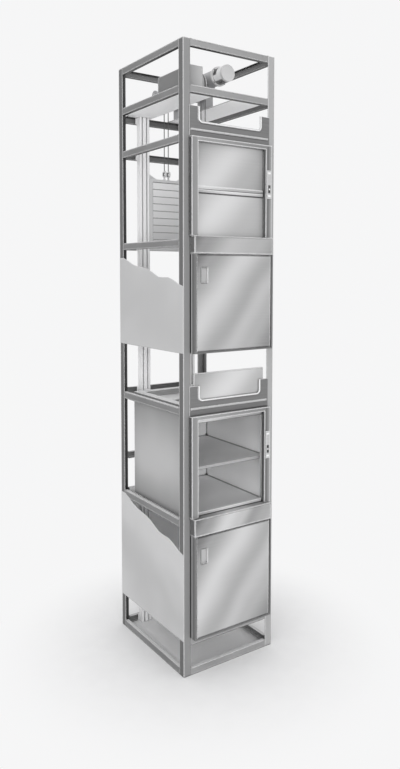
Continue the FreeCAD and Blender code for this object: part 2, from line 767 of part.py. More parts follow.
def guide_column(hand):
    """Ribbed column: two lips and a nose on a web, and a slot towards the counterweight."""
    sign = "-" if hand == "left" else ""

    def side(distance):
        return f"{sign}(column_clear / 2 + {distance})"

    groove = f"{COLUMN_BACK} - column_web"
    nose = ("(column_wide - nose_wide) / 2", "(column_wide + nose_wide) / 2")
    slot = (f"{WEIGHT_Y} - slot_wide / 2", f"{WEIGHT_Y} + slot_wide / 2")
    outline = [(side("0"), COLUMN_BACK), (side("0"), slot[1]), (side("slot_deep"), slot[1]),
               (side("slot_deep"), slot[0]), (side("0"), slot[0]), (side("0"), COLUMN_FACE),
               (side("column_lip"), COLUMN_FACE), (side("column_lip"), groove),
               (side(nose[0]), groove), (side(nose[0]), COLUMN_FACE),
               (side(nose[1]), COLUMN_FACE), (side(nose[1]), groove),
               (side("column_wide - column_lip"), groove), (side("column_wide - column_lip"), COLUMN_FACE),
               (side("column_wide"), COLUMN_FACE), (side("column_wide"), COLUMN_BACK)]
    node(f"guide_column_{hand}", prism(f"{hand}_column", "XY_Plane", outline, "0", BED_BASE))


guide_column("left")
guide_column("right")
seats = []
for hand, sign in (("left", "-"), ("right", "")):
    for i, level in enumerate(REAR_LEVELS[1:]):
        middle = f"{sign}(column_clear / 2 + column_wide / 2)"
        back = f"{REAR} - rail_deep - cladding" if level == "sill_rail_level" else f"{REAR} - rail_deep"
        seats.append(block(f"{hand}_seat_{i}", (f"{middle} - seat_wide / 2", f"{middle} + seat_wide / 2"),
                           (COLUMN_BACK, back), (level, f"{level} + rail_high")))
node("guide_seats", group("seat_set", seats))


# --- bed plates, winding machine and ropes ----------------------------------------------------

BED_TOP = "bed_top"
BED_Y = (f"{FRONT} + rail_wall", f"{REAR} - rail_wall")
POST_EDGE = f"{LEFT} + post_leg"
node("bed_plates", group("bed_pair", [
    prism("left_bed", "XY_Plane", [
        (f"{LEFT} + rail_wall", SIDE_RUN[0]), (POST_EDGE, SIDE_RUN[0]), (POST_EDGE, BED_Y[0]),
        ("left_bed_edge", BED_Y[0]), ("left_bed_edge", BED_Y[1]), (POST_EDGE, BED_Y[1]),
        (POST_EDGE, SIDE_RUN[1]), (f"{LEFT} + rail_wall", SIDE_RUN[1])], BED_BASE, "bed_thick"),
    block("right_bed", ("right_bed_edge", "right_bed_end"), BED_Y, (BED_BASE, BED_TOP))]))

DIVERTER_Y = f"({WEIGHT_Y} - diverter_pitch_radius)"
SHEAVE_Y = f"({DIVERTER_Y} - wheel_spread)"
ROPE_Y = f"({SHEAVE_Y} - sheave_pitch_radius)"


def grooved_wheel(label, pitch_radius, shaft_ends, y, z):
    """Wheel with two rope grooves on a plain web, turned in one with its shaft."""
    root = f"({pitch_radius} - rope_radius - groove_gap)"
    rim = f"({pitch_radius} + rim_rise)"
    under_rim = f"({pitch_radius} - rim_deep)"
    half, web = "sheave_wide / 2", "web_thick / 2"
    points = [(shaft_ends[0], "0"), (shaft_ends[0], "shaft_radius"), (f"-{web}", "shaft_radius"),
              (f"-{web}", under_rim), (f"-{half}", under_rim), (f"-{half}", rim)]
    for centre in ("-rope_pitch / 2", "rope_pitch / 2"):
        points += [(f"{centre} - groove_half", rim), (centre, root), (f"{centre} + groove_half", rim)]
    points += [(half, rim), (half, under_rim), (web, under_rim), (web, "shaft_radius"),
               (shaft_ends[1], "shaft_radius"), (shaft_ends[1], "0")]
    return node(label, place(turned(f"{label}_turned", points), "0", y, z))


GEAR_FACE = "(worm_side - case_wide / 2)"
MOTOR_ENDS = [f"({SHEAVE_Y} - barrel_reach{more})"
              for more in (" - flange_thick - motor_long - motor_cap", " - flange_thick - motor_long",
                           " - flange_thick", "")]
grooved_wheel("traction_sheave", "sheave_pitch_radius",
              ("-sheave_wide / 2 - shaft_stub", "worm_side"), SHEAVE_Y, "sheave_axis")
grooved_wheel("diverter_wheel", "diverter_pitch_radius",
              ("left_bed_edge - shaft_over", "right_bed_edge + shaft_over"), DIVERTER_Y, "diverter_axis")


def gearbox():
    """Worm gearbox: a round case over the wheel, a worm barrel across it, a foot and two end covers."""
    x = (GEAR_FACE, f"{GEAR_FACE} + case_wide")
    case = rod("gear_case", "x", x, (SHEAVE_Y, "sheave_axis"), "case_radius")
    neck = block("gear_neck", x, (f"{SHEAVE_Y} - neck_half", f"{SHEAVE_Y} + neck_half"),
                 (BED_TOP, "sheave_axis"))
    foot = block("gear_foot", (x[0], f"{x[1]} + foot_over"),
                 (f"{SHEAVE_Y} - case_radius", f"{SHEAVE_Y} + case_radius"),
                 (BED_TOP, f"{BED_TOP} + foot_thick"))
    barrel = rod("worm_barrel", "y", (MOTOR_ENDS[3], f"{SHEAVE_Y} + case_radius"),
                 ("worm_side", "worm_axis"), "worm_radius")
    boss = rod("gear_boss", "x", ("sheave_wide / 2 + boss_gap", GEAR_FACE), (SHEAVE_Y, "sheave_axis"),
               "boss_radius")
    cover = rod("gear_cover", "x", (x[1], f"{x[1]} + cover_thick"), (SHEAVE_Y, "sheave_axis"),
                "case_radius - cover_step")
    barrel_end = f"{SHEAVE_Y} + case_radius"
    cap = rod("worm_cap", "y", (barrel_end, f"{barrel_end} + cover_thick"), ("worm_side", "worm_axis"),
              "worm_radius - cover_step")
    whole = fuse("gearbox_body", [case, neck, foot, barrel, boss, cover, cap])
    bore = rod("gear_bore", "x", ("0", "worm_side + shaft_end_gap"),
               (SHEAVE_Y, "sheave_axis"), "shaft_radius + pivot_fit")
    node("gearbox", cut("gearbox_bored", whole, [bore]))


gearbox()
for label, radius, low, high in (("motor_end_cover", "motor_radius", MOTOR_ENDS[0], MOTOR_ENDS[1]),
                                 ("motor_body", "motor_radius - sheet", MOTOR_ENDS[1], MOTOR_ENDS[2]),
                                 ("motor_flange", "flange_radius", MOTOR_ENDS[2], MOTOR_ENDS[3])):
    node(label, rod(f"{label}_round", "y", (low, high), ("worm_side", "worm_axis"), radius))


def diverter_bracket():
    """Two cheeks with feet that carry the diverter wheel's shaft over the gap in the bed."""
    cheeks = []
    for hand, inner, outwards in (("left", "left_bed_edge - bracket_gap", "-"),
                                  ("right", "right_bed_edge + bracket_gap", "+")):
        plate_x = [inner, f"{inner} {outwards} bracket_plate"]
        foot_x = [inner, f"{inner} {outwards} bracket_foot"]
        if outwards == "-":
            plate_x.reverse()
            foot_x.reverse()
        y = (f"{DIVERTER_Y} - bracket_wide / 2", f"{DIVERTER_Y} + bracket_wide / 2")
        cheek = block(f"{hand}_cheek", plate_x, y, (BED_TOP, "diverter_axis"))
        top = rod(f"{hand}_cheek_top", "x", plate_x, (DIVERTER_Y, "diverter_axis"), "bracket_wide / 2")
        foot = block(f"{hand}_cheek_foot", foot_x, y, (BED_TOP, f"{BED_TOP} + bracket_base"))
        bore = rod(f"{hand}_cheek_bore", "x", (f"{plate_x[0]} - 1", f"{plate_x[1]} + 1"),
                   (DIVERTER_Y, "diverter_axis"), "shaft_radius + pivot_fit")
        cheeks.append(cut(f"{hand}_bracket", fuse(f"{hand}_bracket_solid", [cheek, top, foot]), [bore]))
    node("diverter_bracket", group("bracket_pair", cheeks))


diverter_bracket()


def rope_over_wheels():
    """The ropes over both wheels: an arc, the tangent between the wheels and a second arc."""
    front, rear = number(SHEAVE_Y), number(DIVERTER_Y)
    high, low = number("sheave_axis"), number("diverter_axis")
    big, small = number("sheave_pitch_radius"), number("diverter_pitch_radius")
    run, drop = rear - front, high - low
    lean = math.acos((big - small) / math.hypot(run, drop)) - math.atan2(drop, run)
    wires = []
    for x in (-number("rope_pitch") / 2, number("rope_pitch") / 2):
        def at(y, z, radius, angle):
            return FreeCAD.Vector(x, y + radius * math.cos(angle), z + radius * math.sin(angle))

        climb = Part.Arc(at(front, high, big, math.pi), at(front, high, big, (math.pi + lean) / 2),
                         at(front, high, big, lean))
        line = Part.LineSegment(at(front, high, big, lean), at(rear, low, small, lean))
        fall = Part.Arc(at(rear, low, small, lean), at(rear, low, small, lean / 2), at(rear, low, small, 0))
        path = Part.Wire([climb.toShape(), line.toShape(), fall.toShape()])
        start, around = at(front, high, big, math.pi), COUNTS["rope_sides"]
        turns = [2 * math.pi * i / around for i in range(around + 1)]
        ring = Part.makePolygon([start + FreeCAD.Vector(math.cos(turn), math.sin(turn), 0) *
                                 number("rope_radius") for turn in turns])
        wires.append(path.makePipeShell([ring], True, False))
    rope = doc.addObject("Part::Feature", "rope_arcs")
    rope.Shape = Part.makeCompound(wires)
    node("ropes_over_wheels", rope)


rope_over_wheels()

# --- control box ------------------------------------------------------------------------------

BOX_X = ("box_side", "box_side + box_wide")
BOX_Y = (f"{FRONT} + box_front", f"{FRONT} + box_front + box_deep")
BOX_Z = (BED_TOP, f"{BED_TOP} + box_high")
box_shell = cut("control_shell", block("control_solid", (f"{BOX_X[0]} + sheet", BOX_X[1]), BOX_Y, BOX_Z),
                [block("control_hollow", (f"{BOX_X[0]} + sheet - 1", f"{BOX_X[1]} - sheet"),
                       (f"{BOX_Y[0]} + sheet", f"{BOX_Y[1]} - sheet"),
                       (f"{BOX_Z[0]} + sheet", f"{BOX_Z[1]} - sheet"))])
node("control_box", box_shell)
node("control_box_cover", block("control_lid", (BOX_X[0], f"{BOX_X[0]} + sheet"), BOX_Y, BOX_Z))


# --- car, standing at the lower landing ---------------------------------------------------------

CAR_FRONT, CAR_REAR = f"({FRONT} + car_gap)", f"({COLUMN_FACE} - car_rear_gap)"
CAR_HALF = "(car_width / 2)"
CAR_FLOOR, CAR_TOP = "lower_sill", "(lower_sill + car_high)"
IN_X = (f"-{CAR_HALF} + car_sheet", f"{CAR_HALF} - car_sheet")
IN_Y = (f"{CAR_FRONT} + car_sheet", f"{CAR_REAR} - car_sheet")


def tray(name, x, y, top, deep):
    """Folded panel, open underneath."""
    solid = block(f"{name}_solid", x, y, (f"{top} - {deep}", top))
    hollow = block(f"{name}_hollow", (f"{x[0]} + car_sheet", f"{x[1]} - car_sheet"),
                   (f"{y[0]} + car_sheet", f"{y[1]} - car_sheet"),
                   (f"{top} - {deep} - 1", f"{top} - car_sheet"))
    return cut(name, solid, [hollow])


def car_walls():
    """Two sides and a back bent from one sheet, with a stiffening return at each front edge."""
    outline = []
    for sign in ("-", ""):
        corner = [(f"{sign}({CAR_HALF} - car_lip)", f"{CAR_FRONT} + car_sheet"),
                  (f"{sign}({CAR_HALF} - car_lip)", CAR_FRONT), (f"{sign}{CAR_HALF}", CAR_FRONT),
                  (f"{sign}{CAR_HALF}", CAR_REAR)]
        outline += corner if sign else list(reversed(corner))
    for sign in ("", "-"):
        inner = [(f"{sign}({CAR_HALF} - car_sheet)", f"{CAR_FRONT} + car_sheet"),
                 (f"{sign}({CAR_HALF} - car_sheet)", f"{CAR_REAR} - car_sheet")]
        outline += inner if not sign else list(reversed(inner))
    base = f"{CAR_FLOOR} - floor_deep"
    node("car_walls", prism("car_shell", "XY_Plane", outline, base, f"{CAR_TOP} - ({base})"))


def car_roof():
    """Roof with a hollow rim round a sunk panel that has ventilation slots."""
    full = block("roof_solid", IN_X, IN_Y, (f"{CAR_TOP} - roof_deep", CAR_TOP))
    sunk_x = (f"{IN_X[0]} + roof_edge", f"{IN_X[1]} - roof_edge")
    sunk_y = (f"{IN_Y[0]} + roof_edge", f"{IN_Y[1]} - roof_edge")
    recess = block("roof_recess", sunk_x, sunk_y, (f"{CAR_TOP} - roof_deep + car_sheet", f"{CAR_TOP} + 1"))
    under = (f"{CAR_TOP} - roof_deep - 1", f"{CAR_TOP} - car_sheet")
    outer = block("rim_outer", (f"{IN_X[0]} + car_sheet", f"{IN_X[1]} - car_sheet"),
                  (f"{IN_Y[0]} + car_sheet", f"{IN_Y[1]} - car_sheet"), under)
    core = block("rim_core", (f"{sunk_x[0]} - car_sheet", f"{sunk_x[1]} + car_sheet"),
                 (f"{sunk_y[0]} - car_sheet", f"{sunk_y[1]} + car_sheet"), under)
    tools = [recess, cut("rim_hollow", outer, [core])]
    for i in range(COUNTS["vents"]):
        low = f"({sunk_x[0]} + vent_pitch * {i + 1})"
        tools.append(block(f"vent_{i}", (low, f"{low} + vent_wide"),
                           (f"{sunk_y[0]} + vent_pitch", f"{sunk_y[0]} + vent_pitch + vent_long"),
                           (f"{CAR_TOP} - roof_deep - 1", f"{CAR_TOP} - roof_deep + car_sheet + 1")))
    node("car_roof", cut("roof_panel", full, tools))


def car_beam():
    """Channel across the sunk roof that the ropes lift."""
    y = (f"{ROPE_Y} - beam_wide / 2", f"{ROPE_Y} + beam_wide / 2")
    x = (f"{IN_X[0]} + roof_edge", f"{IN_X[1]} - roof_edge")
    z = (f"{CAR_TOP} - roof_deep + car_sheet", CAR_TOP)
    solid = block("beam_solid", x, y, z)
    hollow = block("beam_hollow", (f"{x[0]} - 1", f"{x[1]} + 1"),
                   (f"{y[0]} + rail_wall", f"{y[1]} - rail_wall"), (f"{z[0]} - 1", f"{z[1]} - rail_wall"))
    node("car_beam", cut("beam_channel", solid, [hollow]))
    node("car_rope_sockets", group("socket_pair", [
        flat_bar(f"socket_{i}", 6, (CAR_TOP, f"{CAR_TOP} + socket_high"),
                 f"{sign}rope_pitch / 2", ROPE_Y, "socket_radius")
        for i, sign in enumerate(("-", ""))]))


def guide_shoe(name, hand, low):
    """Shoe on the car's back that straddles the column's nose."""
    sign = "-" if hand == "left" else ""
    middle = f"{sign}(column_clear / 2 + column_wide / 2)"
    half = "(nose_wide / 2 + rope_gap + shoe_wall)"
    z = (low, f"{low} + shoe_high")
    solid = block(f"{name}_solid", (f"{middle} - {half}", f"{middle} + {half}"),
                  (CAR_REAR, f"{COLUMN_FACE} + shoe_bite"), z)
    mouth = block(f"{name}_mouth", (f"{middle} - {half} + shoe_wall", f"{middle} + {half} - shoe_wall"),
                  (f"{COLUMN_FACE} - rope_gap", f"{COLUMN_FACE} + shoe_bite + 1"),
                  (f"{z[0]} - 1", f"{z[1]} + 1"))
    return cut(name, solid, [mouth])


def shelf_rests():
    """Small angles on the side walls that carry the shelf."""
    rests = []
    top = f"({SHELF_TOP} - floor_deep)"
    for i, (wall, inwards) in enumerate(((IN_X[0], "+"), (IN_X[1], "-"))):
        x = [wall, f"{wall} {inwards} shelf_rest"]
        space = [f"{wall} {inwards} car_sheet", f"{wall} {inwards} 2 * shelf_rest"]
        if inwards == "-":
            x.reverse()
            space.reverse()
        solid = block(f"rest_bar_{i}", x, IN_Y, (f"{top} - shelf_rest", top))
        under = block(f"rest_space_{i}", space, IN_Y, (f"{top} - 2 * shelf_rest", f"{top} - car_sheet"))
        rests.append(cut(f"rest_{i}", solid, [under]))
    node("shelf_rests", group("rest_pair", rests))


car_walls()
node("car_floor", tray("floor_tray", IN_X, IN_Y, CAR_FLOOR, "floor_deep"))
SHELF_TOP = f"({CAR_FLOOR} + shelf_level)"
node("car_shelf", tray("shelf_tray", (f"{IN_X[0]} + shelf_gap", f"{IN_X[1]} - shelf_gap"),
                       (f"{IN_Y[0]} + shelf_gap", f"{IN_Y[1]} - shelf_gap"), SHELF_TOP, "floor_deep"))
shelf_rests()
car_roof()
car_beam()
node("car_guide_shoes", group("shoe_set", [
    guide_shoe(f"{hand}_shoe_{i}", hand, low)
    for hand in ("left", "right")
    for i, low in enumerate((f"{CAR_FLOOR} - floor_deep", f"({CAR_TOP} - shoe_high)"))]))

# --- counterweight, hanging high while the car is low --------------------------------------------

WEIGHT_TOP = "(diverter_axis - weight_drop)"
WEIGHT_LOW = "(diverter_axis - weight_drop - weight_high)"
WEIGHT_SPAN = (f"{WEIGHT_Y} - weight_deep / 2", f"{WEIGHT_Y} + weight_deep / 2")


def counterweight():
    half = "weight_width / 2"
    outer = block("weight_outer", (f"-{half}", half), WEIGHT_SPAN, (WEIGHT_LOW, WEIGHT_TOP))
    window_x = (f"-{half} + weight_stile", f"{half} - weight_stile")
    window_z = (f"{WEIGHT_LOW} + weight_base", f"({WEIGHT_TOP} - weight_top)")
    window = block("weight_window", window_x, (f"{WEIGHT_SPAN[0]} - 1", f"{WEIGHT_SPAN[1]} + 1"), window_z)
    gussets = [slab(f"gusset_{i}", [(f"{sign}({half})", WEIGHT_TOP),
                                    (f"{sign}({half} - gusset_wide)", WEIGHT_TOP),
                                    (f"{sign}({half})", f"{WEIGHT_TOP} + gusset_high")],
                    (f"{WEIGHT_Y} - gusset_thick / 2", f"{WEIGHT_Y} + gusset_thick / 2"))
               for i, sign in enumerate(("-", ""))]
    tongues = [block(f"{hand}_{end}_tongue", x,
                     (f"{WEIGHT_Y} - tongue_wide / 2", f"{WEIGHT_Y} + tongue_wide / 2"),
                     (low, f"{low} + tongue_high"))
               for hand, x in (("left", (f"-({half}) - tongue_bite", f"-({half})")),
                               ("right", (half, f"{half} + tongue_bite")))
               for end, low in (("low", WEIGHT_LOW), ("high", f"{WEIGHT_TOP} - tongue_high"))]
    node("counterweight_frame", fuse("weight_frame_whole",
                                     [cut("weight_frame", outer, [window]), *gussets]))
    node("counterweight_shoes", group("tongue_set", tongues))
    count = COUNTS["slabs"]
    pitch = f"(({window_z[1]} - ({window_z[0]})) / {count})"
    y = (f"{WEIGHT_SPAN[0]} + weight_recess", f"{WEIGHT_SPAN[1]} - weight_recess")
    slabs = []
    for i in range(count):
        low, high = f"({window_z[0]} + {pitch} * {i})", f"({window_z[0]} + {pitch} * {i + 1})"
        slabs.append(prism(f"weight_slab_{i}", "YZ_Plane", [
            (y[0], f"{low} + slab_edge"), (f"{y[0]} + slab_edge", low), (f"{y[1]} - slab_edge", low),
            (y[1], f"{low} + slab_edge"), (y[1], f"{high} - slab_edge"), (f"{y[1]} - slab_edge", high),
            (f"{y[0]} + slab_edge", high), (y[0], f"{high} - slab_edge")],
            window_x[0], f"({window_x[1]}) - ({window_x[0]})"))
    node("counterweight_slabs", group("slab_set", slabs))


def rope_eyes():
    """Two eye bolts on the counterweight's top beam."""
    eyes = []
    for i, sign in enumerate(("-", "")):
        ring = turned(f"eye_ring_{i}", [
            ("-eye_wire", "eye_radius"), ("0", "eye_radius - eye_wire"),
            ("eye_wire", "eye_radius"), ("0", "eye_radius + eye_wire")])
        place(ring, f"{sign}rope_pitch / 2", WEIGHT_Y, f"{WEIGHT_TOP} + eye_rise")
        stud = rod(f"eye_stud_{i}", "z", (WEIGHT_TOP, f"{WEIGHT_TOP} + eye_rise - eye_radius"),
                   (f"{sign}rope_pitch / 2", WEIGHT_Y), "eye_wire")
        eyes.append(fuse(f"eye_{i}", [ring, stud]))
    node("counterweight_eyes", group("eye_pair", eyes))


counterweight()
rope_eyes()


def rope_falls(label, y, low, high):
    node(label, group(f"{label}_pair", [
        flat_bar(f"{label}_{i}", COUNTS["rope_sides"], (low, high), f"{sign}rope_pitch / 2", y, "rope_radius")
        for i, sign in enumerate(("-", ""))]))


rope_falls("car_rope_falls", ROPE_Y, f"{CAR_TOP} + socket_high", "sheave_axis")
rope_falls("counterweight_rope_falls", WEIGHT_Y, f"{WEIGHT_TOP} + eye_rise + eye_radius + eye_wire",
           "diverter_axis")

# --- check and write ----------------------------------------------------------------------------

doc.recompute()
for obj in doc.Objects:
    if "Invalid" in obj.State or "Error" in obj.State:
        raise ValueError(f"{obj.Name} ({obj.Label}) is in state {obj.State}")
for obj in NODES:
    if obj.Shape.isNull() or not obj.Shape.isValid() or not obj.Shape.Solids:
        raise ValueError(f"{obj.Label} has no valid solid")
os.makedirs("parts", exist_ok=True)
for obj in NODES:
    obj.Shape.exportStep(f"parts/{obj.Label}.step")
print(len(NODES), "pieces;", sum(len(obj.Shape.Solids) for obj in NODES), "solids")
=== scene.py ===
"""Looks of a two-landing service lift in an open steel tower.

Everything is in metres in the part's own frame: X to the right of a person at the
landings, Y from the landings to the back of the shaft, Z up from the pit floor.
"""

import logging
import math
from collections.abc import Callable, Iterable, Sequence
from dataclasses import dataclass, replace
from enum import Enum

import bmesh
import bpy
from mathutils import Matrix, Vector


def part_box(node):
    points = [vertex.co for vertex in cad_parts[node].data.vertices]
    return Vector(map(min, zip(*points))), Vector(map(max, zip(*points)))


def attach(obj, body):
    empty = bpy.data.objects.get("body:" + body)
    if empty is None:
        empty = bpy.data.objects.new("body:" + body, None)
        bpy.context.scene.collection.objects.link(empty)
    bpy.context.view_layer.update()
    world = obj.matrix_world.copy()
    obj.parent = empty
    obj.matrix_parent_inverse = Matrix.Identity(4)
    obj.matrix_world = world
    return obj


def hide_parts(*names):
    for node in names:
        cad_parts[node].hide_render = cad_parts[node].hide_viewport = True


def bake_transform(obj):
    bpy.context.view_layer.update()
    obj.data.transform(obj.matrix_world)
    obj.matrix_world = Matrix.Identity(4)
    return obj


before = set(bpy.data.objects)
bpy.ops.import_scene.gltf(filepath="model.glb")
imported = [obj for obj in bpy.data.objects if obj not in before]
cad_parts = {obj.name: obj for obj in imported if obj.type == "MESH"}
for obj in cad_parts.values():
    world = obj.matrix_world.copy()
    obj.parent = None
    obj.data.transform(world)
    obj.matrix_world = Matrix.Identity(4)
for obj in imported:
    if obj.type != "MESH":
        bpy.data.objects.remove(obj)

LOG = logging.getLogger("service_lift")
Point = Sequence[float]
Pairs = Sequence[tuple[float, float]]
Tones = tuple[tuple[float, float], ...]
Node = bpy.types.Node
Socket = bpy.types.NodeSocket
Sockets = dict[str, bpy.types.NodeSocket]

TURN = 2 * math.pi
TINY = 1e-6
ACROSS, DEEP, UP = Vector((1, 0, 0)), Vector((0, 1, 0)), Vector((0, 0, 1))
# Direction of a painted light: edges that turn to it get a painted highlight, and edges that turn away get
# painted shade.
PAINTED_LIGHT_FROM = (-0.45, -0.2, 0.87)
TOWER_MIDDLE = (0.0, 0.033)
NOISE_SPAN = (0.3, 0.7)
CLOUD_SPAN = (0.32, 0.68)
CLOUD_SCALE = 2.0
THIN = 0.1
SHARP_DEGREES = 35.0


class Axis(Enum):
    """A direction that a turned or bolted form points along."""

    X = (1.0, 0.0, 0.0)
    Y = (0.0, 1.0, 0.0)
    Z = (0.0, 0.0, 1.0)

    def turn(self) -> Matrix:
        """Give the rotation that takes +Z to this axis."""
        return UP.rotation_difference(Vector(self.value)).to_matrix().to_4x4()


# --- shader helpers ---------------------------------------------------------------------------


class Board:
    """Places and links the nodes of one shader tree."""

    def __init__(self, tree: bpy.types.NodeTree) -> None:
        """Start on a tree."""
        self.tree = tree

    def put(self, kind: str, feeds: dict[int | str, object] | None = None, **settings: object) -> Node:
        """Add a node and feed its inputs.

        Args:
            kind: The node's type name without its ShaderNode prefix.
            feeds: What its inputs get, by their number or name.
            **settings: Properties of the node.

        Returns:
            The new node.
        """
        node = self.tree.nodes.new(f"ShaderNode{kind}")
        for name, value in settings.items():
            setattr(node, name, value)
        for name, source in (feeds or {}).items():
            self.feed(node.inputs[name], source)
        return node

    def feed(self, socket: Socket, source: object) -> None:
        """Give a socket a link or a constant.

        Args:
            socket: The input to feed.
            source: An output socket, or a plain value.
        """
        if isinstance(source, Socket):
            self.tree.links.new(source, socket)
        else:
            socket.default_value = source

    def maths(self, operation: str, first: object, second: object = 0.0, third: object = 0.0) -> Socket:
        """Work out a number with a Math node's operation."""
        return self.put("Math", {0: first, 1: second, 2: third}, operation=operation).outputs[0]

    def spread(self, value: object, low: float, high: float, to_low: float = 0.0,
               to_high: float = 1.0) -> Socket:
        """Map a number smoothly from the range low to high to another, and hold it inside."""
        feeds = {"Value": value, "From Min": low, "From Max": high, "To Min": to_low, "To Max": to_high}
        return self.put("MapRange", feeds, interpolation_type="SMOOTHSTEP").outputs["Result"]

    def mix(self, share: object, first: object, second: object) -> Socket:
        """Mix two colours, where the share says how much of the second shows."""
        feeds = {0: share, 6: first, 7: second}
        return self.put("Mix", feeds, data_type="RGBA", clamp_factor=True).outputs[2]

    def weigh(self, share: object, first: object, second: object) -> Socket:
        """Mix two numbers, where the share says how much the second counts."""
        return self.put("Mix", {0: share, 2: first, 3: second}, data_type="FLOAT").outputs[0]

    def here(self) -> Socket:
        """Give the part's own coordinates."""
        return self.put("TexCoord").outputs["Object"]

    def scaled(self, scale: Point) -> Socket:
        """Give the part's own coordinates, scaled along each axis."""
        return self.put("Mapping", {"Vector": self.here(), "Scale": scale}).outputs["Vector"]

    def noise(self, where: object, scale: float, detail: float = 2.0, rough: float = 0.5) -> Socket:
        """Give smooth noise from 0 to 1 at a scale, with its octaves and their roughness."""
        feeds = {"Vector": where, "Scale": scale, "Detail": detail, "Roughness": rough}
        return self.put("TexNoise", feeds).outputs["Fac"]

    def dot(self, first: object, second: object) -> Socket:
        """Give the dot product of two vectors."""
        return self.put("VectorMath", {0: first, 1: second}, operation="DOT_PRODUCT").outputs["Value"]

    def join(self, parts: Iterable[object]) -> Socket:
        """Make a vector of three numbers."""
        return self.put("CombineXYZ", dict(enumerate(parts))).outputs[0]

    def split(self, vector: object) -> list[Socket]:
        """Give a vector's three numbers."""
        return list(self.put("SeparateXYZ", {0: vector}).outputs)


class Effect:
    """A shader group that several finishes use, built at its first use.

    Attributes:
        title: The group's name.
        inputs: Input names and their starting values.
        outputs: Output names; Normal is a vector and the others are numbers.
    """

    title: str
    inputs: dict[str, float] = {}
    outputs: tuple[str, ...]

    @classmethod
    def fill(cls, board: Board, given: Sockets) -> list[Socket]:
        """Work out the group's outputs.

        Args:
            board: The group's board.
            given: The group's inputs.

        Returns:
            What each output gets, in their order.
        """
        raise NotImplementedError

    @classmethod
    def tree(cls) -> bpy.types.NodeTree:
        """Give the group's tree, made at its first use."""
        if cls.title in bpy.data.node_groups:
            return bpy.data.node_groups[cls.title]
        tree = bpy.data.node_groups.new(cls.title, "ShaderNodeTree")
        for name, value in cls.inputs.items():
            socket = tree.interface.new_socket(name, in_out="INPUT", socket_type="NodeSocketFloat")
            socket.default_value = value
        for name in cls.outputs:
            kind = "NodeSocketVector" if name == "Normal" else "NodeSocketFloat"
            tree.interface.new_socket(name, in_out="OUTPUT", socket_type=kind)
        way_in, way_out = tree.nodes.new("NodeGroupInput"), tree.nodes.new("NodeGroupOutput")
        board = Board(tree)
        given = {name: way_in.outputs[name] for name in cls.inputs}
        for name, result in zip(cls.outputs, cls.fill(board, given)):
            board.feed(way_out.inputs[name], result)
        return tree

    @classmethod
    def use(cls, board: Board, **values: float) -> Sockets:
        """Place the group in a material.

        Args:
            board: The material's board.
            **values: Values of its inputs, with underscores for spaces.

        Returns:
            The group's outputs.
        """
        feeds = {name.replace("_", " "): value for name, value in values.items()}
        node = board.put("Group", feeds, node_tree=cls.tree())
        return {name: node.outputs[name] for name in cls.outputs}


class PaintedBandRun(Effect):
    """How far across a sheet's painted light and shade bands a point lies."""

    title = "painted_band_run"
    inputs = {"Across X": 0.0, "Across Y": 0.0, "Across Z": 1.0, "Start": 0.0, "Wander": 0.1}
    outputs = ("Share",)
    sway_scale = 2.6

    @classmethod
    def fill(cls, board: Board, given: Sockets) -> list[Socket]:
        """Measure along the bands' run and let a slow noise sway it."""
        here = board.here()
        run = board.dot(here, board.join(given[f"Across {axis}"] for axis in "XYZ"))
        sway = board.maths("SUBTRACT", board.noise(here, cls.sway_scale, 1.0), 0.5)
        bent = board.maths("MULTIPLY_ADD", sway, given["Wander"], run)
        return [board.maths("SUBTRACT", bent, given["Start"])]


class BrushedGrain(Effect):
    """Fine brushing lines, drawn level or upright."""

    title = "brushed_grain"
    inputs = {"Upright": 0.0}
    outputs = ("Line",)
    along, over = 1.5, 420.0

    @classmethod
    def fill(cls, board: Board, given: Sockets) -> list[Socket]:
        """Draw noise out along the brushing, both ways."""
        level, upright = (board.noise(board.scaled(scale), 1.0, 3.0, 0.6) for scale in (
            (cls.along, cls.along, cls.over), (cls.over, cls.over, cls.along)))
        return [board.weigh(given["Upright"], level, upright)]


class PaintedEdgeLight(Effect):
    """Where edges are, which of them turn to a painted light for painted highlights and shade, and the normal
    that rounds them.
    """

    title = "painted_edge_light"
    inputs = {"Reach": 0.008, "Round": 0.0015, "From X": 0.0, "From Y": 0.0, "From Z": 1.0}
    outputs = ("Mask", "Lit", "Normal")
    flat_to_edge = (0.985, 0.93)
    dark_to_lit = (-0.1, 0.15)

    @classmethod
    def fill(cls, board: Board, given: Sockets) -> list[Socket]:
        """Compare the rounded normal with the flat one and with the painted light's direction."""
        wide = board.put("Bevel", {"Radius": given["Reach"]}, samples=8).outputs[0]
        bend = board.dot(wide, board.put("NewGeometry").outputs["True Normal"])
        light = board.dot(wide, board.join(given[f"From {axis}"] for axis in "XYZ"))
        soft = board.put("Bevel", {"Radius": given["Round"]}, samples=4).outputs[0]
        return [board.spread(bend, *cls.flat_to_edge), board.spread(light, *cls.dark_to_lit), soft]


class SeamShade(Effect):
    """Painted shade in the narrow gaps and corners where pieces meet."""

    title = "seam_shade"
    inputs = {"Reach": 0.012}
    outputs = ("Mask",)
    open_to_shut = (0.78, 0.42)

    @classmethod
    def fill(cls, board: Board, given: Sockets) -> list[Socket]:
        """Find what lies close by."""
        close = board.put("AmbientOcclusion", {"Distance": given["Reach"]}, samples=8)
        return [board.spread(close.outputs["AO"], *cls.open_to_shut)]


class PaintedFaceShading(Effect):
    """Whether a face looks up, down or to the left, for painting its light and shade."""

    title = "painted_face_shading"
    outputs = ("Up", "Down", "Left")
    level_to_turned = (0.35, 0.6)

    @classmethod
    def fill(cls, board: Board, given: Sockets) -> list[Socket]:
        """Read the flat normal."""
        x, _, z = board.split(board.put("NewGeometry").outputs["True Normal"])
        low, high = cls.level_to_turned
        return [board.spread(z, low, high), board.spread(z, -low, -high), board.spread(x, -low, -high)]


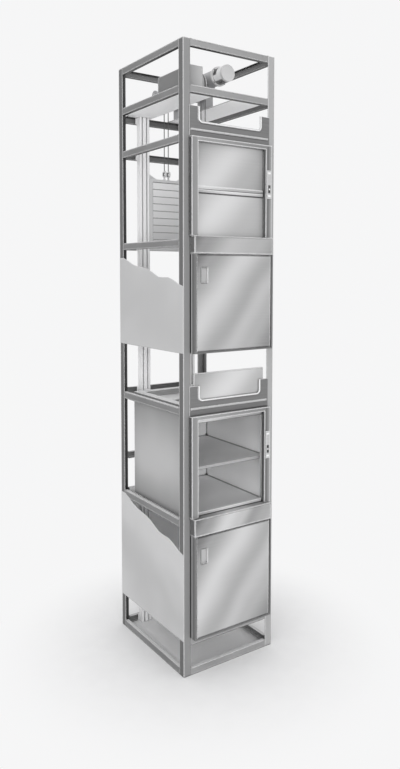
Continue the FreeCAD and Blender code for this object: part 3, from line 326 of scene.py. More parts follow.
def grey(value: float) -> tuple[float, float, float, float]:
    """Give a very slightly warm grey as a linear colour.

    Args:
        value: How light it is, from 0 to 255 as seen on a screen.

    Returns:
        The colour with full alpha.
    """
    share = min(max(value, 0.0), 255.0) / 255.0
    linear = share / 12.92 if share <= 0.04045 else ((share + 0.055) / 1.055) ** 2.4
    return (linear, linear, linear * 1.004, 1.0)


# --- finishes ---------------------------------------------------------------------------------


@dataclass(frozen=True)
class PaintedBands:
    """Painted light and shade bands that follow each other across a sheet: painted reflections, highlights
    and shadows.

    Attributes:
        across: Direction in which they follow each other, over the whole run's length.
        start: Where the first lies along it.
        tones: Pairs of a share of the run and the tone there.
        wander: How far the bands sway, as a share of the run.
    """

    across: tuple[float, float, float]
    start: float
    tones: Tones
    wander: float = 0.1

    @classmethod
    def between(cls, first: Point, last: Point, *tones: tuple[float, float], wander: float = 0.0) -> "PaintedBands":
        """Lay bands from one point to another.

        Args:
            first: Where they start.
            last: Where they end.
            *tones: Pairs of a share of the way and the tone there.
            wander: How far they sway, as a share of the way.

        Returns:
            The bands.
        """
        way = Vector(last) - Vector(first)
        across = way / way.length_squared
        return cls(tuple(across), across.dot(Vector(first)), tones, wander)

    @classmethod
    def over(cls, node: str, *tones: tuple[float, float], slope: float = 1.25) -> "PaintedBands":
        """Lay bands that rise to the right over a node, from its upper left to its lower right.

        Args:
            node: The node; one that is thin in X is read from the left of the lift.
            *tones: Pairs of a share of the diagonal and the tone there.
            slope: Rise of the bands for each metre to the right.

        Returns:
            The bands.
        """
        low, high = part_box(node)
        size = high - low
        wide = size.x > THIN
        right, width = (ACROSS, size.x) if wide else (-DEEP, size.y)
        corner = Vector((low.x, low.y if wide else high.y, high.z))
        across = (right * slope - UP) / (slope * width + size.z)
        return cls(tuple(across), across.dot(corner), tones)

    def colours(self, board: Board) -> Socket:
        """Give the colours of the bands.

        Args:
            board: The material's board.

        Returns:
            The colour's socket.
        """
        x, y, z = self.across
        share = PaintedBandRun.use(board, Across_X=x, Across_Y=y, Across_Z=z, Start=self.start, Wander=self.wander)
        ramp = board.put("ValToRGB", {0: share["Share"]})
        stops = ramp.color_ramp
        stops.interpolation = "EASE"
        for i, (place, tone) in enumerate(self.tones):
            stop = stops.elements[i] if i < 2 else stops.elements.new(place)
            stop.position = place
            stop.color = grey(tone)
        return ramp.outputs["Color"]


@dataclass(frozen=True)
class Finish:
    """What all finishes share: tone, painted light and shade on faces, painted highlights and shade on edges,
    and painted shade in seams.

    Attributes:
        name: The material's name.
        tone: How light the surface is, from 0 to 255.
        rough: Roughness.
        painted_bands: Painted light and shade bands that take the place of the tone.
        drift: How far a plain tone drifts over the surface each way.
        top_shading_tone: Painted shading tone of faces that look up, where it differs.
        under_shading_tone: Painted shading tone of faces that look down, where it differs.
        left_shading_tone: Painted shading tone of faces that look to the left, where it differs.
        edge_highlight: Tone of the highlight painted on edges that turn to the painted light.
        edge_shade: Tone of the shade painted on edges that turn away from it.
        edge_share: How strongly the painted edge highlights and shade show.
        reach: Width of the painted edge highlights and shade.
        seam_shade_tone: Tone of the painted shade where pieces meet.
        seam_shade_share: How strongly the painted seam shade shows.
        seam_shade_reach: How near the other piece lies for the painted seam shade to show.
        painted_light_from: Where the painted light comes from, whose highlights and shade are painted on
            edges.
        clear: Distances from the tower's middle in X and Y beyond which no painted edge highlight
        or shade shows, where pieces are welded on.
    """

    name: str
    tone: float = 150.0
    rough: float = 0.45
    painted_bands: PaintedBands | None = None
    drift: float = 6.0
    top_shading_tone: float | None = None
    under_shading_tone: float | None = None
    left_shading_tone: float | None = None
    edge_highlight: float = 244.0
    edge_shade: float = 84.0
    edge_share: float = 0.9
    reach: float = 0.009
    seam_shade_tone: float = 36.0
    seam_shade_share: float = 0.75
    seam_shade_reach: float = 0.014
    painted_light_from: tuple[float, float, float] = PAINTED_LIGHT_FROM
    clear: tuple[float, float] | None = None

    def material(self) -> bpy.types.Material:
        """Give this finish's material, made at its first use."""
        if self.name in bpy.data.materials:
            return bpy.data.materials[self.name]
        made = bpy.data.materials.new(self.name)
        made.use_nodes = True
        self.paint(Board(made.node_tree), made.node_tree.nodes["Principled BSDF"])
        return made

    def paint(self, board: Board, shader: Node) -> None:
        """Fill the material's tree; each kind of finish has its own way.

        Args:
            board: The material's board.
            shader: The material's shader.
        """
        raise NotImplementedError

    def body(self, board: Board) -> Socket:
        """Give the surface's colour with its painted light bands and painted face shading, before the painted
        edges and seams.

        Args:
            board: The material's board.

        Returns:
            The colour's socket.
        """
        # Painted light and shade bands where given, else a plain tone that drifts at random.
        if self.painted_bands:
            colour = self.painted_bands.colours(board)
        else:
            cloud = board.spread(board.noise(board.here(), CLOUD_SCALE), *CLOUD_SPAN)
            colour = board.mix(cloud, grey(self.tone - self.drift), grey(self.tone + self.drift))
        # Painted light and shade: faces that look up, down or to the left get tones of their own.
        sides = {"Up": self.top_shading_tone, "Down": self.under_shading_tone, "Left": self.left_shading_tone}
        turned = {side: tone for side, tone in sides.items() if tone is not None}
        facing = PaintedFaceShading.use(board) if turned else {}
        for side, tone in turned.items():
            colour = board.mix(facing[side], colour, grey(tone))
        return colour

    def skin(self, board: Board, shader: Node, colour: object, height: object, strength: float,
             vary: float) -> None:
        """Lay painted edge highlights and shade, painted seam shade and fine relief over a colour and feed
        the shader.

        Args:
            board: The material's board.
            shader: The material's shader.
            colour: The colour without the painted edges and seams.
            height: The relief's height, from 0 to 1.
            strength: Strength of the relief.
            vary: How far the roughness varies each way.
        """
        # Painted highlights on edges that turn to the painted light, and painted shade on edges that turn
        # away from it.
        x, y, z = self.painted_light_from
        edges = PaintedEdgeLight.use(board, Reach=self.reach, From_X=x, From_Y=y, From_Z=z)
        rim = board.mix(edges["Lit"], grey(self.edge_shade), grey(self.edge_highlight))
        shown = board.maths("MULTIPLY", edges["Mask"], self.edge_share)
        if self.clear:
            for place, middle, reach in zip(board.split(board.here()), TOWER_MIDDLE, self.clear):
                off = board.maths("ABSOLUTE", board.maths("SUBTRACT", place, middle))
                shown = board.maths("MULTIPLY", shown, board.maths("LESS_THAN", off, reach))
        colour = board.mix(shown, colour, rim)
        # Painted shade where another piece lies close: in gaps, in corners and under things.
        seam = SeamShade.use(board, Reach=self.seam_shade_reach)["Mask"]
        colour = board.mix(board.maths("MULTIPLY", seam, self.seam_shade_share), colour, grey(self.seam_shade_tone))
        board.feed(shader.inputs["Base Color"], colour)
        rough = board.spread(height, *NOISE_SPAN, self.rough - vary, self.rough + vary)
        board.feed(shader.inputs["Roughness"], rough)
        bump = board.put("Bump", {"Strength": strength, "Distance": 0.0004, "Height": height,
                                  "Normal": edges["Normal"]})
        board.feed(shader.inputs["Normal"], bump.outputs[0])


@dataclass(frozen=True)
class BrushedSteel(Finish):
    """Brushed stainless sheet.

    Attributes:
        metal: Metallic share.
        upright: 1 where the brushing runs up, 0 where it runs level.
        streak: How strongly the brushing lines show.
        streak_tone: Tone of the brushing lines.
    """

    metal: float = 0.3
    upright: float = 0.0
    streak: float = 0.06
    streak_tone: float = 250.0

    def paint(self, board: Board, shader: Node) -> None:
        """Fill the tree with painted light bands, brushing, painted edge highlights and shade, and painted
        seam shade.
        """
        shader.inputs["Metallic"].default_value = self.metal
        lines = BrushedGrain.use(board, Upright=self.upright)["Line"]
        fine = board.spread(lines, *NOISE_SPAN, 0.0, self.streak)
        colour = board.mix(fine, self.body(board), grey(self.streak_tone))
        self.skin(board, shader, colour, lines, strength=0.05, vary=0.06)


@dataclass(frozen=True)
class CarSheet(BrushedSteel):
    """Brushed sheet of the car, whose inner faces have painted light and shade bands of their own.

    Attributes:
        inner: Painted light and shade bands of the inner faces.
        half: Half the width between the side walls' inner faces.
        back: Y of the rear wall's inner face.
    """

    inner: PaintedBands | None = None
    half: float = 0.3685
    back: float = 0.3835

    def body(self, board: Board) -> Socket:
        """Give the outer painted bands outside and the inner painted bands inside."""
        x, y, _ = board.split(board.here())
        across = board.maths("LESS_THAN", board.maths("ABSOLUTE", x), self.half)
        ahead = board.maths("LESS_THAN", y, self.back)
        inside = board.maths("MULTIPLY", across, ahead)
        return board.mix(inside, super().body(board), self.inner.colours(board))


@dataclass(frozen=True)
class Paint(Finish):
    """Sprayed paint.

    Attributes:
        peel: Strength of the orange-peel.
        peel_scale: Scale of the orange-peel.
    """

    peel: float = 0.08
    peel_scale: float = 900.0

    def paint(self, board: Board, shader: Node) -> None:
        """Fill the tree with orange-peel, painted edge highlights and shade, and painted seam shade."""
        peel = board.noise(board.here(), self.peel_scale)
        self.skin(board, shader, self.body(board), peel, self.peel, vary=0.05)


@dataclass(frozen=True)
class DrumPaint(Paint):
    """Paint of the motor's drum, with a dark vent at the upper left, and darker along its bottom.

    Attributes:
        side: X of the drum's axis.
        level: Z of the drum's axis.
        ring: Y of the ring at the drum's rear end.
        vent_left: How far left of the axis the vent starts to show and shows fully.
        vent_below: How far below the axis the vent starts to show.
        vent_ahead: How far ahead of the ring the vent starts to show and shows fully.
        dark_bottom: How far below the axis the darker bottom starts and is full.
        mesh_scale: Scale of the mottling of the dark patches.
        mesh_span: Part of the noise that the mottling spreads out.
        dark: Darkest and lightest tone of the dark patches.
    """

    side: float = 0.098
    level: float = 4.577
    ring: float = -0.176
    vent_left: tuple[float, float] = (0.030, 0.038)
    vent_below: float = 0.008
    vent_ahead: tuple[float, float] = (0.048, 0.042)
    dark_bottom: tuple[float, float] = (0.042, 0.050)
    mesh_scale: float = 60.0
    mesh_span: tuple[float, float] = (0.4, 0.6)
    dark: tuple[float, float] = (46.0, 130.0)

    def body(self, board: Board) -> Socket:
        """Lay the dark patches over the plain paint."""
        x, y, z = board.split(board.here())
        left = board.spread(x, *(self.side - off for off in self.vent_left))
        above = board.spread(z, self.level - self.vent_below, self.level)
        near = board.spread(y, *(self.ring - off for off in self.vent_ahead))
        vent = board.maths("MULTIPLY", board.maths("MULTIPLY", left, above), near)
        # Darker along the drum's bottom.
        seat = board.spread(z, *(self.level - off for off in self.dark_bottom))
        mesh = board.spread(board.noise(board.here(), self.mesh_scale, 1.0), *self.mesh_span)
        dark = board.mix(mesh, *(grey(tone) for tone in self.dark))
        return board.mix(board.maths("MAXIMUM", vent, seat), super().body(board), dark)


@dataclass(frozen=True)
class CastIron(Finish):
    """Cast or rolled iron with a sandy skin.

    Attributes:
        sand: Strength of the sandy skin.
        sand_scale: Scale of the sandy skin.
        metal: Metallic share.
    """

    sand: float = 0.3
    sand_scale: float = 260.0
    metal: float = 0.3

    def paint(self, board: Board, shader: Node) -> None:
        """Fill the tree with a sandy skin, painted edge highlights and shade, and painted seam shade."""
        shader.inputs["Metallic"].default_value = self.metal
        sand = board.noise(board.here(), self.sand_scale, 4.0, 0.65)
        self.skin(board, shader, self.body(board), sand, self.sand, vary=0.09)


@dataclass(frozen=True)
class Plastic(Finish):
    """Moulded plastic with a fine spark-eroded skin.

    Attributes:
        coat: Weight of the clear skin.
        texture: Strength of the moulded texture.
        texture_scale: Scale of the moulded texture.
    """

    coat: float = 0.2
    texture: float = 0.1
    texture_scale: float = 1500.0

    def paint(self, board: Board, shader: Node) -> None:
        """Fill the tree with a moulded skin."""
        shader.inputs["Coat Weight"].default_value = self.coat
        texture = board.noise(board.here(), self.texture_scale)
        self.skin(board, shader, self.body(board), texture, self.texture, vary=0.05)


# Painted shade in joints and in corners where pieces meet.
JOINT_SHADE = {"seam_shade_reach": 0.02, "seam_shade_share": 0.95, "seam_shade_tone": 14.0}
CORNER_SHADE = {"seam_shade_reach": 0.028, "seam_shade_share": 0.95, "seam_shade_tone": 6.0}


class Finishes:
    """The finishes of this lift, one for each kind of surface."""

    # Painted shade: the posts' left faces darker and their fronts lighter, with painted edge highlights and
    # shade.
    POST = Paint("post_paint", left_shading_tone=94, reach=0.011, edge_shade=40, edge_share=0.7,
                 seam_shade_reach=0.018, seam_shade_share=0.9, seam_shade_tone=20,
                 painted_bands=PaintedBands(across=(0.71, -0.408, 0.0), start=-0.513, wander=0.03,
                           tones=((0.0, 58), (0.4, 138), (1.0, 168))))
    # Rails: tops painted light and undersides painted dark as shade.
    SIDE_RAIL = Paint("side_rail_paint", tone=120, top_shading_tone=226, under_shading_tone=40, edge_shade=10,
                      edge_highlight=226, reach=0.013, clear=(1.0, 0.418))
    FRONT_RAIL = Paint("front_rail_paint", top_shading_tone=226, under_shading_tone=40, edge_shade=8,
                       edge_highlight=232, reach=0.014, clear=(0.350, 1.0))
    REAR_RAIL = Paint("rear_rail_paint", tone=122, top_shading_tone=200, under_shading_tone=26, edge_shade=20,
                      edge_highlight=204, reach=0.014, clear=(0.350, 1.0))
    # Painted reflections: soft light and dark diagonal bands over the sheets.
    CLADDING = BrushedSteel("cladding_sheet", rough=0.55, metal=0.1, upright=1.0, streak=0.04,
                            edge_share=0.5, seam_shade_share=0.3,
                            painted_bands=PaintedBands.between((0, -0.5, 3.3), (0, 0.5, 0.2), (0.0, 198), (0.22, 186),
                                              (0.36, 194), (0.72, 202), (0.84, 186), (1.0, 202), wander=0.16))
    # Painted highlight on the doors' left faces, with edge highlights painted from the left.
    DOOR = BrushedSteel("door_steel", rough=0.5, metal=0.2, reach=0.014, edge_shade=20, left_shading_tone=226,
                        painted_light_from=(-0.9, 0.2, 0.0), **JOINT_SHADE)
    HATCH = BrushedSteel("hatch_steel", rough=0.5, metal=0.2, reach=0.012, edge_shade=60)
    # Painted shade: dark left returns and a painted shadow line on the right stile, with all edges painted
    # light.
    PORTAL = BrushedSteel("portal_steel", upright=1.0, left_shading_tone=84, reach=0.010, edge_shade=226,
                          seam_shade_reach=0.022, seam_shade_share=0.95, seam_shade_tone=14,
                          painted_bands=PaintedBands.between((-0.3725, 0, 0), (0.3725, 0, 0), (0.0, 132), (0.05, 140),
                                            (0.077, 160), (0.12, 150), (0.93, 128), (0.952, 96),
                                            (0.966, 132), (1.0, 160)))
    # Painted highlight on the notch's lip, darkening to the plate behind it.
    HEADER = BrushedSteel("header_steel", reach=0.008, seam_shade_reach=0.02, seam_shade_share=0.95,
                          painted_bands=PaintedBands.between((0, -0.4675, 0), (0, -0.4605, 0), (0.0, 240), (0.45, 182),
                                            (0.6, 154), (0.9, 121), (1.0, 113)))
    # Painted shade on the sill's undersides and left faces.
    SILL = BrushedSteel("sill_steel", rough=0.5, metal=0.2, under_shading_tone=30, left_shading_tone=96, reach=0.016,
                        edge_shade=6, **JOINT_SHADE)
    # Painted shadow over the deep part of the jambs beside the door, then a painted highlight strip, then mid
    # grey to the front.
    SURROUND = BrushedSteel("surround_steel", upright=1.0, edge_share=0.1, seam_shade_share=0.9, seam_shade_tone=10,
                            painted_bands=PaintedBands.between((0, -0.457, 0), (0, -0.503, 0), (0.0, 4), (0.34, 4),
                                              (0.42, 226), (0.5, 226), (0.58, 108), (1.0, 108)))
    # Painted light and shade bands on the car's inner faces.
    CAR = CarSheet("car_steel", metal=0.15, streak=0.03, **CORNER_SHADE,
                   inner=PaintedBands.between((0, 0, 1.213), (0, 0, 2.0), (0.0, 254), (0.3, 236), (0.45, 214),
                                      (0.46, 252), (0.75, 230), (1.0, 196), wander=0.02))
    # Painted light and shade: the shelf darker at its front edge and lighter towards the back.
    SHELF = BrushedSteel("car_shelf_steel", metal=0.1, reach=0.008, edge_shade=20, edge_highlight=210, **CORNER_SHADE,
                         painted_bands=PaintedBands.between((0, -0.423, 0), (0, 0.385, 0), (0.0, 168), (0.012, 168),
                                           (0.02, 208), (0.4, 244), (1.0, 248)))
    # Painted light on the roof's upward faces.
    ROOF = BrushedSteel("car_roof_steel", tone=170, metal=0.15, top_shading_tone=236, edge_shade=40, reach=0.012)
    GUIDE = BrushedSteel("guide_steel", tone=250, drift=3, rough=0.4, metal=0.05, upright=1.0, reach=0.005,
                         edge_shade=140, edge_highlight=252, seam_shade_share=0.4)
    TRACK = BrushedSteel("track_steel", tone=190, upright=1.0)
    # Painted light on the bed plates' undersides.
    BED = BrushedSteel("bed_plate_steel", tone=206, rough=0.5, metal=0.0, under_shading_tone=255, drift=4,
                       edge_shade=120)
    # Painted light and shade: a gradient across the box, lighter tops and darker left faces.
    BOX = Paint("enclosure_paint", left_shading_tone=126, top_shading_tone=210,
                painted_bands=PaintedBands.between((-0.304, 0, 0), (-0.185, 0, 0), (0.0, 162), (1.0, 182)))
    MACHINE = Paint("machine_paint", tone=250, drift=4, edge_highlight=250)
    MOTOR = Paint("motor_paint", tone=255, drift=2, edge_highlight=254, edge_shade=130)
    DRUM = DrumPaint("drum_paint", tone=236, drift=4, edge_highlight=254, edge_shade=130)
    # Thimbles painted dark: painted shade inside the eye bolts.
    THIMBLE_SHADE = Paint("thimble_shade_paint", tone=62, rough=0.5, edge_highlight=170, edge_shade=20, reach=0.003)
    WHEEL = CastIron("wheel_iron", tone=190, reach=0.004)
    WEIGHT = CastIron("weight_iron", tone=222, rough=0.6, reach=0.007, edge_highlight=250, edge_shade=60,
                      sand=0.12)
    # Painted light lighter up the stack, and painted shade on the faces in the grooves between slabs.
    SLAB = CastIron("slab_iron", rough=0.6, under_shading_tone=110, top_shading_tone=150, reach=0.008,
                    edge_highlight=236, sand=0.12, seam_shade_tone=96,
                    painted_bands=PaintedBands.between((0, 0, 3.8), (0, 0, 3.25), (0.0, 252), (0.4, 236), (1.0, 214),
                                      wander=0.1))
    ROPE = CastIron("rope_wire", tone=112, sand=0.1, edge_share=0.0, seam_shade_share=0.2)
    BRIGHT = BrushedSteel("bright_fitting", tone=216, rough=0.3, metal=0.6, reach=0.003)
    PLATE = BrushedSteel("plate_steel", tone=184, rough=0.3, metal=0.15, reach=0.008, edge_shade=230)
    PULL = BrushedSteel("pull_steel", tone=176, metal=0.15, reach=0.004, streak=0.02, seam_shade_share=0.3)
    BOLT = BrushedSteel("bolt_steel", tone=186, rough=0.35, metal=0.4, reach=0.002, seam_shade_share=0.5)
    RIM = BrushedSteel("rim_steel", tone=244, metal=0.15, reach=0.001, edge_share=0.1, streak=0.02,
                       seam_shade_share=0.3)
    BEZEL = Plastic("bezel_plastic", tone=34, coat=0.4, edge_share=0.1)
    BUTTON = Plastic("button_plastic", tone=232, coat=0.3, edge_share=0.3, reach=0.002)
    LENS = Plastic("lens_plastic", tone=236, rough=0.25, coat=0.6, edge_share=0.2, reach=0.002)
    SHOE = Plastic("shoe_plastic", tone=60, rough=0.6, coat=0.0)


def dress(finish: Finish, *nodes: str) -> None:
    """Give modelled pieces a finish.

    Args:
        finish: The finish.
        *nodes: Names of the pieces.
    """
    for name in nodes:
        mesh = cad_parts[name].data
        mesh.materials.clear()
        mesh.materials.append(finish.material())


# --- forms ------------------------------------------------------------------------------------


def stand(name: str, data: bpy.types.ID) -> bpy.types.Object:
    """Put a new object in the scene.

    Args:
        name: The object's name.
        data: Its mesh, lamp or camera.

    Returns:
        The object.
    """
    made = bpy.data.objects.new(name, data)
    bpy.context.scene.collection.objects.link(made)
    return made


class Form:
    """One piece's mesh while it is being made."""

    def __init__(self) -> None:
        """Start an empty mesh."""
        self.mesh = bmesh.new()

    def _take(self, part: bmesh.types.BMesh) -> None:
        """Add a finished bit of mesh and free it.

        Args:
            part: The bit.
        """
        bmesh.ops.recalc_face_normals(part, faces=part.faces)
        bit = bpy.data.meshes.new("bit")
        part.to_mesh(bit)
        part.free()
        self.mesh.from_mesh(bit)
        bpy.data.meshes.remove(bit)

    def lathe(self, at: Point, axis: Axis, profile: Pairs, steps: int) -> None:
        """Add a turned form.

        Args:
            at: The point where the profile's distance is 0.
            axis: The axis it turns about.
            profile: Pairs of distance along the axis and radius.
            steps: Segments around.
        """
        part = bmesh.new()
        rings = []
        for along, radius in profile:
            turns = [TURN * i / steps for i in range(steps)] if radius > TINY else [0.0]
            rings.append([part.verts.new((radius * math.cos(turn), radius * math.sin(turn), along))
                          for turn in turns])
        for lower, upper in zip(rings, rings[1:]):
            for i in range(steps):
                j = (i + 1) % steps
                corners = dict.fromkeys((lower[i % len(lower)], lower[j % len(lower)],
                                         upper[j % len(upper)], upper[i % len(upper)]))
                part.faces.new(list(corners))
        for ring in (rings[0], rings[-1]):
            if len(ring) > 1:
                part.faces.new(ring)
        bmesh.ops.transform(part, matrix=Matrix.Translation(Vector(at)) @ axis.turn(), verts=part.verts)
        self._take(part)

    def sweep(self, path: Sequence[Vector], ring: Callable[[float, float], float], sides: int,
              closed: bool = False) -> None:
        """Add a tube along a path.

        Args:
            path: Points of its middle line.
            ring: Gives the radius for an angle and a distance along the path.
            sides: Segments around.
            closed: True where the path runs into itself.
        """
        part = bmesh.new()
        count = len(path)
        ahead = [path[(i + 1) % count if closed else min(i + 1, count - 1)] for i in range(count)]
        behind = [path[i - 1 if closed else max(i - 1, 0)] for i in range(count)]
        side = (ahead[0] - behind[0]).orthogonal().normalized()
        rings, run = [], 0.0
        for i, point in enumerate(path):
            forward = (ahead[i] - behind[i]).normalized()
            side = (side - forward * side.dot(forward)).normalized()
            up = forward.cross(side)
            run += (point - path[i - 1]).length if i else 0.0
            turns = (TURN * k / sides for k in range(sides))
            rings.append([part.verts.new(point + ring(turn, run) * (
                side * math.cos(turn) + up * math.sin(turn))) for turn in turns])
        pairs = list(zip(rings, rings[1:])) + ([(rings[-1], rings[0])] if closed else [])
        for lower, upper in pairs:
            for k in range(sides):
                m = (k + 1) % sides
                part.faces.new((lower[k], lower[m], upper[m], upper[k]))
        if not closed:
            part.faces.new(list(reversed(rings[0])))
            part.faces.new(rings[-1])
        self._take(part)

    def piece(self, name: str, body: str, finish: Finish, slot: str,
              replaces: Sequence[str] = ()) -> bpy.types.Object:
        """Turn the mesh into a piece of the lift.

        Args:
            name: The piece's name.
            body: The body that it rides on, or nothing where it rides on none.
            finish: Its finish.
            slot: A material slot's name; not used.
            replaces: Modelled pieces that it stands for.

        Returns:
            The new object.
        """
        data = bpy.data.meshes.new(name)
        bmesh.ops.remove_doubles(self.mesh, verts=self.mesh.verts, dist=TINY)
        self.mesh.to_mesh(data)
        self.mesh.free()
        data.polygons.foreach_set("use_smooth", [True] * len(data.polygons))
        data.set_sharp_from_angle(angle=math.radians(SHARP_DEGREES))
        data.materials.append(finish.material())
        piece = stand(name, data)
        if body:
            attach(piece, body)
        if replaces:
            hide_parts(*replaces)
        LOG.info("piece %s on %s, %d faces", name, body or "a bend", len(data.polygons))
        return piece


@dataclass(frozen=True)
class Bolt:
    """A hexagon bolt head on a washer.

    Attributes:
        across: Width across flats.
        rise: Height of the head with its washer.
        washer: Radius of the washer, as a share of the width.
        thin: Thickness of the washer, as a share of the height.
        chamfer: Where the chamfer starts, as a share of the height, and its share of the radius.
    """

    across: float
    rise: float
    washer: float = 0.95
    thin: float = 0.25
    chamfer: tuple[float, float] = (0.85, 0.82)

    def head(self, form: Form, at: Point, axis: Axis, outward: float = 1.0) -> None:
        """Add one bolt.

        Args:
            form: The form that takes it.
            at: Centre of the face that it sits on.
            axis: The bolt's axis.
            outward: 1 where the head points along the axis, -1 where it points back.
        """
        rise, wide, corner = outward * self.rise, self.across * self.washer, self.across / math.sqrt(3)
        start, share = self.chamfer
        form.lathe(at, axis, [(0.0, wide), (rise * self.thin, wide)], 24)
        form.lathe(at, axis, [(rise * self.thin, corner), (rise * start, corner), (rise, corner * share)], 6)

    def ring(self, form: Form, centre: Point, axis: Axis, circle: tuple[float, int],
             outward: float = 1.0) -> None:
        """Add bolts on a circle.

        Args:
            form: The form that takes them.
            centre: The circle's centre, on the face they sit on.
            axis: The circle's axis, X or Y.
            circle: The circle's radius and how many bolts are on it.
            outward: 1 where they point along the axis, -1 where they point back.
        """
        radius, count = circle
        side = DEEP if axis is Axis.X else ACROSS
        for i in range(count):
            turn = TURN * (i + 0.5) / count
            at = Vector(centre) + radius * (side * math.cos(turn) + UP * math.sin(turn))
            self.head(form, at, axis, outward)


def along_arc(centre: Point, radius: float, start: float, end: float, steps: int,
              plane: tuple[Vector, Vector]) -> list[Vector]:
    """Give points on an arc.

    Args:
        centre: Its centre.
        radius: Its radius.
        start: First angle in radians.
        end: Last angle in radians.
        steps: Segments.
        plane: The directions at 0 and at a quarter turn.

    Returns:
        The points, both ends included.
    """
    first, second = plane
    return [Vector(centre) + radius * (first * math.cos(turn) + second * math.sin(turn))
            for turn in (start + (end - start) * i / steps for i in range(steps + 1))]


# --- the lift's sub-assemblies ------------------------------------------------------------------


@dataclass
class Tower:
    """Corner angles and rails."""

    def make(self) -> None:
        """Dress the tower."""
        dress(Finishes.POST, "corner_posts")
        dress(Finishes.SIDE_RAIL, "left_rails", "right_rails")
        dress(Finishes.FRONT_RAIL, "front_rails")
        dress(Finishes.REAR_RAIL, "rear_rails")


@dataclass
class Cladding:
    """Side and rear sheets.

    Attributes:
        sides: Painted bands from the inner to the outer face of the right and rear sheets, the inner faces
            painted lighter.
    """

    sides: Tones = ((0.0, 255), (0.4, 255), (0.6, 194), (1.0, 194))

    def make(self) -> None:
        """Dress the sheets."""
        dress(Finishes.CLADDING, "left_cladding")
        # Right and rear sheets: inner faces painted lighter than outer faces, as painted light.
        for node, axis in (("right_cladding", 0), ("rear_cladding", 1)):
            inner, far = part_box(node)
            outer = inner.copy()
            outer[axis] = far[axis]
            painted_bands = PaintedBands.between(inner, outer, *self.sides)
            dress(replace(Finishes.CLADDING, name=f"{node}_sheet", painted_bands=painted_bands), node)


@dataclass
class Landing:
    """One landing's front with its hatch, service door and call button.

    Attributes:
        level: The landing's name.
        lift: How much lighter its painted light and shade bands are, from 0 to 255.
        sill: Painted light and shade bands of its sill.
        door: Painted light and shade bands of its service door.
        rising: Painted light and shade bands of its rising panel.
        dropping: Painted light and shade bands of its dropping panel.
        rim_inset: How far the pull's rim lies inside the pull's edge.
        rim_corner: Radius of the rim's corners.
        rim_wire: Radius of the rim's round section.
        cap: Front of the button's cap, as pairs of a depth behind it and a share of its radius.
    """

    level: str
    lift: float = 0.0
    sill: Tones = ((0.0, 108), (0.16, 150), (0.45, 190), (0.75, 180), (1.0, 156))
    door: Tones = ((0.02, 116), (0.13, 158), (0.35, 208), (0.56, 170), (0.68, 192), (0.8, 178), (1.0, 138))
    rising: Tones = ((0.02, 160), (0.42, 214), (0.72, 180), (1.0, 158))
    dropping: Tones = ((0.02, 172), (0.36, 219), (0.7, 188), (1.0, 182))
    rim_inset: float = 0.004
    rim_corner: float = 0.005
    rim_wire: float = 0.0022
    cap: Pairs = ((0.0014, 1.0), (0.0006, 0.94), (0.0002, 0.8), (0.0006, 0.6), (0.001, 0.0))

    def name(self, piece: str) -> str:
        """Give a piece's name on this landing."""
        return f"{self.level}_{piece}"

    def dress_in_painted_bands(self, finish: Finish, piece: str, tones: Tones, slope: float = 1.25) -> None:
        """Dress a piece in painted light and shade bands that rise to the right.

        Args:
            finish: The finish without its bands.
            piece: The piece's name on any landing.
            tones: Pairs of a share of the diagonal and the tone there.
            slope: Rise of the bands for each metre to the right.
        """
        node = self.name(piece)
        painted_bands = PaintedBands.over(node, *((share, tone + self.lift) for share, tone in tones), slope=slope)
        dress(replace(finish, name=f"{node}_{finish.name}", painted_bands=painted_bands), node)

    def make(self) -> None:
        """Dress the modelled pieces and add the fittings."""
        # Painted light and shade bands on the service door, the hatch panels and the sill.
        self.dress_in_painted_bands(Finishes.DOOR, "service_door", self.door)
        self.dress_in_painted_bands(Finishes.HATCH, "rising_panel", self.rising, slope=1.1)
        self.dress_in_painted_bands(Finishes.HATCH, "dropping_panel", self.dropping, slope=1.1)
        self.dress_in_painted_bands(Finishes.SILL, "sill", self.sill)
        for finish, piece in ((Finishes.PORTAL, "portal_frame"), (Finishes.SURROUND, "service_surround"),
                              (Finishes.HEADER, "header_plate"), (Finishes.TRACK, "hatch_tracks"),
                              (Finishes.PULL, "pull"), (Finishes.BUTTON, "call_button")):
            dress(finish, self.name(piece))
        self.pull_rim()
        self.button_cap()

    def pull_rim(self) -> None:
        """Add the rounded rim round the flush pull."""
        low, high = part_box(self.name("pull"))
        corner, wire, y = self.rim_corner, self.rim_wire, low.y + self.rim_wire
        inset = self.rim_inset + corner
        left, right, base, top = low.x + inset, high.x - inset, low.z + inset, high.z - inset
        path: list[Vector] = []
        for quarter, (x, z) in enumerate(((left, base), (right, base), (right, top), (left, top))):
            start = TURN / 2 + TURN * quarter / 4
            path += along_arc((x, y, z), corner, start, start + TURN / 4, 5, (ACROSS, UP))
        form = Form()
        form.sweep(path, lambda turn, run: wire, 8, closed=True)
        form.piece(self.name("pull_rim"), self.name("service_leaf"), Finishes.RIM, "pull_metal")

    def button_cap(self) -> None:
        """Add the domed cap of the call button."""
        button = self.name("call_button")
        low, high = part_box(button)
        radius, deep = (high.x - low.x) / 2, high.y - low.y
        at = ((low.x + high.x) / 2, high.y, (low.z + high.z) / 2)
        front = [(depth - deep, share * radius) for depth, share in self.cap]
        form = Form()
        form.lathe(at, Axis.Y, [(0.0, radius), *front], 32)
        cap = self.name("button_cap")
        form.piece(cap, cap, Finishes.BUTTON, "button_plastic", (button,))


@dataclass
class OperatingPlates:
    """Both landings' operating plates with their inserts and lenses, and the doors' pivots."""

    def make(self) -> None:
        """Dress the plates and the pivots."""
        dress(Finishes.PLATE, "operating_plates")
        dress(Finishes.BEZEL, "button_bezels")
        dress(Finishes.LENS, "indicator_lenses")
        dress(Finishes.BRIGHT, "service_pivots")


